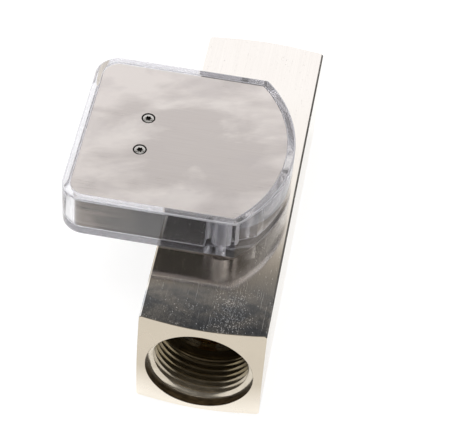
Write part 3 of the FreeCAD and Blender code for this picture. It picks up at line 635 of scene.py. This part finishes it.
SLOTS = {
    "brass": grained_metal("brass", (0.78, 0.52, 0.20), 0.26, (1.6, 0.3, 1.6)),
    "black_rubber": black_rubber(),
    "stainless": grained_metal("stainless", (0.62, 0.61, 0.59), 0.24, (1.4, 0.25, 1.4)),
    "spring_steel": grained_metal("spring_steel", (0.50, 0.50, 0.50), 0.28, (0.4, 0.15, 0.4)),
    "ferrite": ferrite(),
    "clear_plastic": clear_plastic("clear_plastic", (0.95, 0.95, 0.965), 0.035, 0.0),
    "screw_steel": grained_metal("screw_steel", (0.60, 0.585, 0.56), 0.22, (0.5, 0.5, 0.12), relief=0.002),
    "brushed_plate": brushed_plate(),
    "seal": grey_seal(),
    "aluminium": grained_metal("aluminium", (0.75, 0.75, 0.76), 0.32, (7.0, 0.2, 0.2)),
    "plated_magnet": grained_metal("plated_magnet", (0.62, 0.61, 0.60), 0.16, (0.8, 0.8, 0.8), 0.06, 0.002),
    "dial": dial_faces(),
    "pointer_red": lacquer("pointer_red", (0.52, 0.025, 0.018), (0.66, 0.05, 0.035)),
}
# Painted shade: near-black steel for the plate's underside and countersinks, and the screws' drives
SHADE_BLACK = grained_metal("shade_black_steel", (0.045, 0.043, 0.04), 0.42, (0.6, 0.6, 0.6), relief=0.003)
PRINT_BLACK = lacquer("print_black", (0.015, 0.015, 0.016), (0.035, 0.035, 0.036))

# Pieces that wear several finishes, and the places of those finishes in each list
BAR_FINISHES = [bar_sides(), bar_ends(), bar_thread(), bar_recess()]
SIDES, ENDS, THREAD, RECESS = 0, 1, 2, 3
PLASTICS = [
    SLOTS["clear_plastic"],
    clear_plastic("drilled_plastic", (0.84, 0.84, 0.93), 0.15, 0.45, (0.5, 0.5, 9.0)),
    clear_plastic("moulded_edge", (0.84, 0.84, 0.89), 0.45, 0.02),
    clear_plastic("moulded_top", (0.92, 0.92, 0.955), 0.12, 0.02),
]
DRILLED, EDGE, RIM_TOP = 1, 2, 3
PLATE_FINISHES = [SLOTS["brushed_plate"], SHADE_BLACK]
SCREW_FINISHES = [SLOTS["screw_steel"], SHADE_BLACK]
# place of the painted shade black in the plate's and the screws' lists
SUNK = 1


# Meshes

def ring(bm, points):
    """Loop of new vertices at the given points."""
    return [bm.verts.new(point) for point in points]


def level(bm, outline, z):
    """Ring along an outline at one height."""
    return ring(bm, [(x, y, z) for x, y in outline])


def bridge(bm, rings, material=0):
    """Bands of quads between rings of equal length."""
    for first, second in zip(rings, rings[1:]):
        count = len(first)
        for i in range(count):
            j = (i + 1) % count
            face = bm.faces.new((first[i], first[j], second[j], second[i]))
            face.material_index = material


def fill(bm, loops, material=0):
    """Flat face bounded by the first loop, with the others as holes."""
    edges = []
    for loop in loops:
        for first, second in zip(loop, loop[1:] + loop[:1]):
            edges.append(bm.edges.get((first, second)) or bm.edges.new((first, second)))
    made = bmesh.ops.triangle_fill(bm, edges=edges, use_beauty=True)
    for face in made["geom"]:
        if isinstance(face, bmesh.types.BMFace):
            face.material_index = material


def cut_off(steps, low_end, high_end, radius_at):
    """Radius and station of each step of a thread.

    An end is a station and a radius, and steps beyond it lie on its flat face, out to that radius.
    """
    low, low_r = low_end
    high, high_r = high_end
    points = []
    for k, (station, depth) in enumerate(steps):
        before, before_depth = steps[max(k - 1, 0)]
        after, after_depth = steps[min(k + 1, len(steps) - 1)]
        if after <= low:
            points.append((low_r, low))
        elif station <= low:
            share = (low - station) / (after - station)
            points.append((radius_at(low, depth + share * (after_depth - depth)), low))
        elif before >= high:
            points.append((high_r, high))
        elif station >= high:
            share = (high - before) / (station - before)
            points.append((radius_at(high, before_depth + share * (depth - before_depth)), high))
        else:
            points.append((radius_at(station, depth), station))
    return points


def helical_wall(bm, angles, low_end, high_end, pitch, profile, radius_at, place, material=0):
    """Threaded wall between two ends: its grid climbs one pitch a turn and is cut off flat at both ends."""
    low = low_end[0]
    samples = len(profile)
    turns = math.ceil((high_end[0] - low) / pitch) + 2
    columns = []
    for angle in angles:
        steps = []
        for k in range(turns * samples + 1):
            share, depth = profile[k % samples]
            steps.append((low + (k // samples + share + angle / TAU - 1) * pitch, depth))
        points = cut_off(steps, low_end, high_end, radius_at)
        columns.append(ring(bm, [place(radius, angle, station) for radius, station in points]))
    for i, column in enumerate(columns):
        following = columns[(i + 1) % len(columns)]
        lift = samples if i + 1 == len(columns) else 0
        for k in range(len(column) - 1 - lift):
            face = bm.faces.new((column[k], column[k + 1], following[k + 1 + lift], following[k + lift]))
            face.material_index = material


def add_object(name, data):
    made = bpy.data.objects.new(name, data)
    bpy.context.scene.collection.objects.link(made)
    return made


def finish_piece(name, bm, materials, body, nodes=(), flat=None):
    """Turns a mesh in millimetres into a piece that rides on a body and stands for nodes of the frame.

    Faces with the material at place flat are shaded flat.
    """
    bmesh.ops.remove_doubles(bm, verts=bm.verts, dist=MERGE_DISTANCE)
    bmesh.ops.recalc_face_normals(bm, faces=bm.faces)
    mesh = bpy.data.meshes.new(name)
    bm.to_mesh(mesh)
    bm.free()
    mesh.transform(Matrix.Scale(MM, 4))
    mesh.shade_smooth()
    mesh.set_sharp_from_angle(angle=SHARP_ANGLE)
    for face in mesh.polygons:
        if face.material_index == flat:
            face.use_smooth = False
    for material in materials:
        mesh.materials.append(material)
    made = add_object(name, mesh)
    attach(made, body)
    if nodes:
        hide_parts(*nodes)
    return made


def round_angles(steps):
    """Even steps round a full turn."""
    return [TAU * i / steps for i in range(steps)]


def about_flow(radius, angle, y):
    """Point about the flow axis; the angle runs from straight up towards +X."""
    return (radius * math.sin(angle), y, AXIS_Z + radius * math.cos(angle))


def about_upright(x, y):
    """Places points about an upright axis."""
    def place(radius, angle, z):
        return (x + radius * math.cos(angle), y + radius * math.sin(angle), z)
    return place


def arc(x, y, radius, start, end, steps):
    """Points along an arc between two angles in degrees, both ends included."""
    points = []
    for i in range(steps + 1):
        angle = math.radians(start + (end - start) * i / steps)
        points.append((x + radius * math.cos(angle), y + radius * math.sin(angle)))
    return points


def quarter_round(radius):
    """Pairs (how far in, how far from the face) along a rounded edge, from the face to the side."""
    return arc(radius, radius, radius, 270, 180, ROUND_STEPS)


def drill(bm, x, ys, stations, under, over, material):
    """Round holes from radii and heights; their ends join the loops of the faces under and over them."""
    for y in ys:
        place = about_upright(x, y)
        hole = []
        for radius, z in stations:
            hole.append(ring(bm, [place(radius, angle, z) for angle in round_angles(HOLE_STEPS)]))
        bridge(bm, hole, material)
        under.append(hole[0])
        over.append(hole[-1])


# The bar

def bar_angles():
    """Even steps round the bar, and the edges of its four long chamfers."""
    chamfer = math.pi / 4 - math.atan((HALF_WIDTH - BAR_EDGE_CHAMFER) / HALF_WIDTH)
    angles = round_angles(BAR_STEPS)
    for quarter in range(4):
        corner = TAU * (quarter + 0.5) / 4
        angles += [corner - chamfer, corner + chamfer]
    return sorted(angles)


def bar_radius(angle):
    """Distance from the flow axis to the outside of the square bar."""
    across = abs(math.sin(angle))
    up = abs(math.cos(angle))
    return min(HALF_WIDTH / max(across, up), (2 * HALF_WIDTH - BAR_EDGE_CHAMFER) / (across + up))


def end_station(radius):
    """How far along the flow the turned end face lies at a radius."""
    slope = END_CONE_RISE / (HALF_WIDTH * math.sqrt(2) - MOUTH_R)
    return MOUTH_Y - slope * (radius - MOUTH_R)


def port_radius(y, depth):
    """Radius of the port's thread, which runs out over the last turn before the port's floor."""
    fade = min(1.0, (abs(y) - PORT_FLOOR_Y) / THREAD_PITCH)
    return THREAD_ROOT_R - THREAD_DEPTH * depth * fade


def make_bar():
    bm = bmesh.new()
    angles = bar_angles()

    def round_ring(radius, y):
        return ring(bm, [about_flow(radius, angle, y) for angle in angles])

    def outer_ring(side, inset, setback):
        points = []
        for angle in angles:
            radius = bar_radius(angle) - inset
            points.append(about_flow(radius, angle, side * (end_station(radius) - setback)))
        return ring(bm, points)

    edge_r = MOUTH_R + RECESS_EDGE_BREAK
    side_rings = []
    for side in (-1, 1):
        recess = round_ring(MOUTH_R, side * RECESS_Y)
        recess_edge = round_ring(MOUTH_R, side * (MOUTH_Y - RECESS_EDGE_BREAK))
        mouth = round_ring(edge_r, side * end_station(edge_r))
        face_edge = outer_ring(side, BAR_END_BREAK, 0.0)
        side_edge = outer_ring(side, 0.0, BAR_END_BREAK)
        bridge(bm, [recess, recess_edge], RECESS)
        bridge(bm, [recess_edge, mouth, face_edge, side_edge], ENDS)
        side_rings.append(side_edge)
    bridge(bm, side_rings, SIDES)

    half_bore = [
        (THREAD_ROOT_R, PORT_FLOOR_Y), (BORE_R, PORT_FLOOR_Y), (BORE_R, GROOVE_OUTER_Y),
        (GROOVE_R, GROOVE_OUTER_Y), (GROOVE_R, GROOVE_INNER_Y), (BORE_R, GROOVE_INNER_Y),
    ]
    bore = half_bore + [(radius, -y) for radius, y in reversed(half_bore)]
    bridge(bm, [round_ring(radius, y) for radius, y in bore], THREAD)

    inlet = ((-RECESS_Y, MOUTH_R), (-PORT_FLOOR_Y, THREAD_ROOT_R))
    outlet = ((PORT_FLOOR_Y, THREAD_ROOT_R), (RECESS_Y, MOUTH_R))
    for low_end, high_end in (inlet, outlet):
        helical_wall(bm, angles, low_end, high_end, THREAD_PITCH, THREAD_PROFILE, port_radius, about_flow,
                     THREAD)
    finish_piece("nickel_bar", bm, BAR_FINISHES, "meter", ["measuring_body"], SIDES)


# The clear housing and its back plate

def overhang_corners(inset, steps):
    """The two round corners of the overhang, moved inwards."""
    x = HOUSING_LOW.x + CORNER_R
    y = HOUSING_HALF - CORNER_R
    radius = CORNER_R - inset
    return arc(x, y, radius, 90, 180, steps) + arc(x, -y, radius, 180, 270, steps)


def housing_outline(inset):
    """Plan of the housing moved inwards: three straight sides and an arc, with every corner rounded."""
    half = HOUSING_HALF - inset
    arc_r = ARC_R - inset
    small = max(ARC_CORNER_R - inset, PLATE_CORNER_R)
    small_x = ARC_X + math.sqrt((arc_r - small) ** 2 - (half - small) ** 2)
    meet = math.degrees(math.atan2(half - small, small_x - ARC_X))
    points = arc(small_x, small - half, small, -90, -meet, ARC_CORNER_STEPS)
    points += arc(ARC_X, 0, arc_r, -meet, meet, ARC_STEPS)[1:]
    points += arc(small_x, half - small, small, meet, 90, ARC_CORNER_STEPS)[1:]
    points += overhang_corners(inset, CORNER_STEPS)
    return [(x, y + HOUSING_MIDDLE_Y) for x, y in points]


def cavity_outline(inset):
    """Plan of the housing's inside, moved inwards: its walls, and the two screw pillars in its corners."""
    half = HOUSING_HALF - WALL - inset
    arc_r = ARC_R - WALL - inset
    pillar_x = -PILLAR_HALF + PILLAR_EDGE_R
    pillar_y = SCREW_OFFSET - PILLAR_HALF + PILLAR_EDGE_R
    edge_r = PILLAR_EDGE_R + inset
    meet = math.degrees(math.asin((pillar_y - edge_r) / arc_r))
    points = [(pillar_x - edge_r, -half)]
    points += arc(pillar_x, -pillar_y, edge_r, 180, 90, PILLAR_STEPS)
    points += arc(ARC_X, 0, arc_r, -meet, meet, CAVITY_ARC_STEPS)
    points += arc(pillar_x, pillar_y, edge_r, 270, 180, PILLAR_STEPS)
    points += [(pillar_x - edge_r, half)]
    points += overhang_corners(WALL + inset, CAVITY_CORNER_STEPS)
    return [(x, y + HOUSING_MIDDLE_Y) for x, y in points]


def frost_pillars(bm):
    """Gives the pillars' faces beside the dial the drilled finish."""
    for face in bm.faces:
        middle = face.calc_center_median()
        outward = abs(middle.y - HOUSING_MIDDLE_Y)
        beside = SCREW_OFFSET - PILLAR_HALF < outward < HOUSING_HALF - WALL
        on_pillar = -PILLAR_HALF - PILLAR_FACE_MARGIN < middle.x < -PILLAR_HALF + PILLAR_EDGE_R
        if beside and on_pillar and FLOOR_Z < middle.z < LEDGE_Z:
            face.material_index = DRILLED


def make_housing():
    bm = bmesh.new()
    low = HOUSING_LOW.z + HOUSING_AIR_GAP
    high = HOUSING_HIGH.z
    edge = quarter_round(EDGE_ROUND)
    inner_edge = quarter_round(RIM_INNER_ROUND)
    foot = [level(bm, housing_outline(inset), low + rise) for inset, rise in edge]
    rim = [level(bm, housing_outline(inset), high - drop) for inset, drop in reversed(edge)]
    rim_in = [level(bm, housing_outline(RIM - inset), high - drop) for inset, drop in inner_edge]
    ledge = level(bm, housing_outline(RIM), LEDGE_Z)
    bridge(bm, foot, EDGE)
    bridge(bm, [foot[-1], rim[0]])
    bridge(bm, rim, EDGE)
    bridge(bm, [rim[-1], rim_in[0]], RIM_TOP)
    bridge(bm, rim_in, EDGE)
    bridge(bm, [rim_in[-1], ledge])
    cavity = [level(bm, cavity_outline(0), LEDGE_Z)]
    for inset, rise in reversed(quarter_round(FLOOR_FILLET)):
        cavity.append(level(bm, cavity_outline(inset), FLOOR_Z + rise))
    bridge(bm, cavity[:2])
    bridge(bm, cavity[1:], EDGE)
    frost_pillars(bm)
    fill(bm, [cavity[-1]])
    base_loops = [foot[0]]
    ledge_loops = [ledge, cavity[0]]
    stations = [
        (SCREW_HOLE_R, low), (SCREW_HOLE_R, SCREW_SEAT_Z),
        (SCREW_SINK_R, SCREW_SEAT_Z), (SCREW_SINK_R, LEDGE_Z),
    ]
    drill(bm, 0, SCREW_YS, stations, base_loops, ledge_loops, DRILLED)
    fill(bm, base_loops)
    fill(bm, ledge_loops)
    finish_piece("clear_housing", bm, PLASTICS, "meter", ["display_housing"])


def make_plate():
    bm = bmesh.new()
    low = PLATE_LOW.z
    high = PLATE_HIGH.z
    outline = housing_outline(PLATE_INSET)
    inner = housing_outline(PLATE_INSET + PLATE_EDGE_BREAK)
    edge = [
        level(bm, inner, low), level(bm, outline, low + PLATE_EDGE_BREAK),
        level(bm, outline, high - PLATE_EDGE_BREAK), level(bm, inner, high),
    ]
    bridge(bm, edge)
    under_loops = [edge[0]]
    top_loops = [edge[-1]]
    cone_high = high - COUNTERSINK_WALL
    cone_low = cone_high - (COUNTERSINK_R - PLATE_HOLE_R)
    stations = [
        (PLATE_HOLE_R, low), (PLATE_HOLE_R, cone_low), (COUNTERSINK_R, cone_high), (COUNTERSINK_R, high),
    ]
    # the countersinks and the underside take the painted shade black
    drill(bm, PIVOT_X, PLATE_SCREW_YS, stations, under_loops, top_loops, SUNK)
    fill(bm, under_loops, SUNK)
    fill(bm, top_loops)
    finish_piece("brushed_back_plate", bm, PLATE_FINISHES, "meter", ["back_plate"])


# Screws

def screw(bm, place, top, tip, head, thread, drive_r):
    """Screw with a six-lobe drive; head lists (radius, depth below the top) down to the thread."""
    angles = round_angles(SCREW_STEPS)
    thread_r, pitch = thread
    thread_depth = SCREW_THREAD_DEPTH * pitch
    tip_r = SCREW_TIP * (thread_r - thread_depth)
    neck = top - head[-1][1]

    def lobed(share, z):
        points = []
        for angle in angles:
            radius = drive_r * share * (1 + DRIVE_LOBE_HEIGHT * math.cos(DRIVE_LOBES * angle))
            points.append(place(radius, angle, z))
        return ring(bm, points)

    def shank_radius(z, depth):
        fade_in = min(1.0, (neck - z) / pitch)
        fade_out = min(1.0, (z - tip) / pitch)
        crest = tip_r + (thread_r - tip_r) * fade_out
        return crest - thread_depth * (1 - depth) * fade_in * fade_out

    drive = [
        lobed(DRIVE_POINT_R, top - DRIVE_POINT_DEPTH * drive_r),
        lobed(DRIVE_FLOOR_R, top - DRIVE_DEPTH * drive_r),
        lobed(1.0, top - DRIVE_EDGE_BREAK),
    ]
    # the drive takes the painted shade black
    fill(bm, [drive[0]], SUNK)
    bridge(bm, drive, SUNK)
    rings = [drive[-1], lobed(DRIVE_MOUTH_R, top)]
    for radius, depth in head:
        rings.append(ring(bm, [place(radius, angle, top - depth) for angle in angles]))
    bridge(bm, rings)
    helical_wall(bm, angles, (tip, tip_r), (neck, thread_r), pitch, SCREW_PROFILE, shank_radius, place)
    fill(bm, [ring(bm, [place(tip_r, angle, tip) for angle in angles])])


def make_plate_screws():
    bm = bmesh.new()
    thread_r = PLATE_THREAD[0]
    head = [(PLATE_HEAD_R - inset, depth) for inset, depth in PLATE_HEAD_EDGE]
    head += [(PLATE_HEAD_R, PLATE_HEAD_WALL), (thread_r, PLATE_HEAD_WALL + PLATE_HEAD_R - thread_r)]
    top = PLATE_SCREW_HIGH.z - PLATE_HEAD_SINK
    for y in PLATE_SCREW_YS:
        screw(bm, about_upright(PIVOT_X, y), top, PLATE_SCREW_LOW.z, head, PLATE_THREAD, PLATE_DRIVE_R)
    finish_piece("plate_screws", bm, SCREW_FINISHES, "meter", ["back_plate_screws"])


def make_housing_screws():
    bm = bmesh.new()
    head = [(HOUSING_HEAD_R - inset, depth) for inset, depth in HOUSING_HEAD_EDGE]
    head += [
        (HOUSING_HEAD_R, HOUSING_HEAD_LENGTH - HOUSING_HEAD_BREAK),
        (HOUSING_HEAD_R - HOUSING_HEAD_BREAK, HOUSING_HEAD_LENGTH),
        (HOUSING_THREAD[0], HOUSING_HEAD_LENGTH),
    ]
    top = HOUSING_SCREW_HIGH.z
    for y in SCREW_YS:
        screw(bm, about_upright(0, y), top, HOUSING_SCREW_LOW.z, head, HOUSING_THREAD, HOUSING_DRIVE_R)
    finish_piece("pillar_screws", bm, SCREW_FINISHES, "meter", ["housing_screws"])


# The float's spring

def make_spring():
    """Round wire coiled about the flow axis, with its end turns drawn together."""
    bm = bmesh.new()
    start = SPRING_LOW.y + SPRING_WIRE_R
    length = SPRING_LENGTH - 2 * SPRING_WIRE_R
    steps = SPRING_TURNS * SPRING_TURN_STEPS
    rings = []
    for i in range(steps + 1):
        share = i / steps
        turn = TAU * SPRING_TURNS * share
        middle = start + length * (share - SPRING_END_DRAW * math.sin(TAU * share) / TAU)
        section = arc(SPRING_R, middle, SPRING_WIRE_R, 0, 360, SPRING_SECTION_STEPS)[:-1]
        rings.append(ring(bm, [about_flow(radius, turn, y) for radius, y in section]))
    bridge(bm, rings)
    fill(bm, [rings[0]])
    fill(bm, [rings[-1]])
    steel = [SLOTS["spring_steel"]]
    made = finish_piece("coil_spring", bm, steel, "meter", ["float_spring"])
    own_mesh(made)


# The dial's scale

def scale_point(radius, share):
    """Point on the dial; the share runs along the pointer's sweep, which ends on the inlet's side."""
    angle = math.radians(180 - SCALE_SWEEP / 2 + SCALE_SWEEP * share)
    return (PIVOT_X + radius * math.cos(angle), PIVOT_Y + radius * math.sin(angle))


def printed_patch(bm, outline):
    """Thin raised patch under the dial."""
    top = level(bm, outline, DIAL_FACE_Z)
    under = level(bm, outline, DIAL_FACE_Z - PRINT_THICKNESS)
    bridge(bm, [top, under])
    fill(bm, [top])
    fill(bm, [under])


def make_number(text, share):
    """Number that stands upright for someone who looks up at the dial."""
    curve = bpy.data.curves.new("dial_number_" + text, "FONT")
    curve.body = text
    curve.align_x = "CENTER"
    curve.align_y = "CENTER"
    curve.size = NUMBER_SIZE
    curve.extrude = PRINT_THICKNESS / 2
    shape = bpy.data.objects.new("number_shape", curve)
    mesh = bpy.data.meshes.new_from_object(shape)
    bpy.data.objects.remove(shape)
    bpy.data.curves.remove(curve)
    x, y = scale_point(NUMBER_R, share)
    reader = Matrix(((0, -1, 0), (-1, 0, 0), (0, 0, -1))).to_4x4()
    bm = bmesh.new()
    bm.from_mesh(mesh)
    bpy.data.meshes.remove(mesh)
    bm.transform(Matrix.Translation((x, y, DIAL_FACE_Z - PRINT_THICKNESS / 2)) @ reader)
    finish_piece("dial_number_" + text, bm, [PRINT_BLACK], "meter")


def make_scale():
    """Scale arc with its ticks and plain numbers, to be read from below with the overhang on top."""
    bm = bmesh.new()
    shares = [i / SCALE_ARC_STEPS for i in range(SCALE_ARC_STEPS + 1)]
    inner = [scale_point(SCALE_R, share) for share in shares]
    outer = [scale_point(SCALE_R + SCALE_LINE, share) for share in shares]
    printed_patch(bm, inner + outer[::-1])
    half_line = SCALE_LINE / 2 / math.radians(SCALE_SWEEP) / SCALE_R
    for part in range(SCALE_PARTS + 1):
        share = part / SCALE_PARTS
        numbered = part % SCALE_PARTS_PER_NUMBER == 0
        reach = SCALE_R + (LONG_TICK_LENGTH if numbered else TICK_LENGTH)
        printed_patch(bm, [
            scale_point(SCALE_R, share - half_line), scale_point(reach, share - half_line),
            scale_point(reach, share + half_line), scale_point(SCALE_R, share + half_line)])
    finish_piece("dial_scale", bm, [PRINT_BLACK], "meter")
    for part in range(0, SCALE_PARTS + 1, SCALE_PARTS_PER_NUMBER):
        make_number(str(part * SCALE_STEP_VALUE), part / SCALE_PARTS)


# Nodes of the frame that keep their shape

def dress_nodes():
    """Gives each node the finish of its slot."""
    for part in frame["record"]["subparts"]:
        finish = SLOTS.get(part["material_slot"])
        if finish is not None:
            node = frame["nodes"][part["node"]]
            node.data.materials.clear()
            node.data.materials.append(finish)


# Floor, light and camera

def make_floor():
    """Plain floor that looks white and keeps the meter's shadow."""
    half = FLOOR_SIZE / 2
    sheet = [(-half, -half, 0), (half, -half, 0), (half, half, 0), (-half, half, 0)]
    mesh = bpy.data.meshes.new("floor")
    mesh.from_pydata(sheet, [], [range(4)])
    mesh.transform(Matrix.Scale(MM, 4))
    finish = Finish("floor", {
        "Roughness": 0.9, "Base Color": (0.34, 0.34, 0.34, 1.0), "Specular IOR Level": 0.0})
    path = finish.node("LightPath").outputs
    seen = finish.larger(path["Is Camera Ray"], path["Is Glossy Ray"], path["Is Transmission Ray"])
    glow = finish.node("Emission", {"Strength": finish.multiply(seen, FLOOR_GLOW)})
    added = finish.node("AddShader", {
        0: finish.shader.outputs["BSDF"], 1: glow.outputs["Emission"]})
    finish.show(added.outputs["Shader"])
    mesh.materials.append(finish.material)
    floor = add_object("floor", mesh)


def studio_ramp(nodes, value, stops):
    """Colour at a value, blended between stops."""
    ramp = nodes.node("ValToRGB", {"Fac": value})
    elements = ramp.color_ramp.elements
    while len(elements) < len(stops):
        elements.new(0.5)
    for element, (position, colour) in zip(elements, stops):
        element.position = position
        element.color = (*colour, 1.0)
    return ramp.outputs["Color"]


def make_world():
    """The studio that metal and plastic mirror; the camera sees white, also through clear plastic."""
    world = bpy.data.worlds.new("studio")
    bpy.context.scene.world = world
    world.use_nodes = True
    nodes = Nodes(world.node_tree)
    direction = nodes.axes(nodes.node("TexCoord").outputs["Generated"])
    front = studio_ramp(nodes, direction["Z"], FRONT_STUDIO)
    rear = studio_ramp(nodes, direction["Z"], REAR_STUDIO)
    behind = nodes.span(direction["Y"], 0.0, 1.0, *SWEEP_Y)
    leftward = nodes.span(direction["X"], 0.0, 1.0, *SWEEP_X)
    colour = nodes.blend(nodes.multiply(behind, leftward), front, rear)
    rightward = nodes.span(direction["X"], 0.0, 1.0, *SCREEN_X)
    raised = nodes.span(direction["Z"], 0.0, 1.0, *SCREEN_Z)
    colour = nodes.blend(nodes.multiply(rightward, raised), colour, SCREEN_COLOUR)
    path = nodes.node("LightPath").outputs
    seen = nodes.larger(path["Is Camera Ray"], path["Is Transmission Ray"])
    colour = nodes.blend(seen, colour, WHITE)
    nodes.tree.links.new(colour, nodes.tree.nodes["Background"].inputs["Color"])


def make_lamp(name, place, size, watts):
    """Soft square lamp that looks at the middle of the meter."""
    data = bpy.data.lights.new(name, "AREA")
    data.size = size * MM
    data.energy = watts
    lamp = add_object(name, data)
    lamp.location = Vector(place) * MM
    lamp.rotation_mode = "QUATERNION"
    lamp.rotation_quaternion = (CAMERA_AIM * MM - lamp.location).to_track_quat("-Z", "Y")
    lamp.visible_glossy = False


def make_camera():
    data = bpy.data.cameras.new("camera")
    data.lens = CAMERA_LENS
    data.sensor_width = CAMERA_SENSOR
    data.clip_start = CAMERA_NEAR * MM
    data.clip_end = CAMERA_FAR * MM
    camera = add_object("camera", data)
    forward = (CAMERA_AIM - CAMERA_PLACE).normalized()
    level_right = forward.cross(Vector((0, 0, 1))).normalized()
    level_up = level_right.cross(forward)
    right = level_right * math.cos(CAMERA_ROLL) + level_up * math.sin(CAMERA_ROLL)
    up = right.cross(forward)
    turn = Matrix((right, up, -forward)).transposed().to_4x4()
    camera.matrix_world = Matrix.Translation(CAMERA_PLACE * MM) @ turn
    bpy.context.scene.camera = camera


make_bar()
make_housing()
make_plate()
make_plate_screws()
make_housing_screws()
make_spring()
make_scale()
dress_nodes()
make_floor()
make_world()
for lamp_values in LAMPS:
    make_lamp(*lamp_values)
make_camera()
bpy.context.scene.view_settings.view_transform = "Standard"
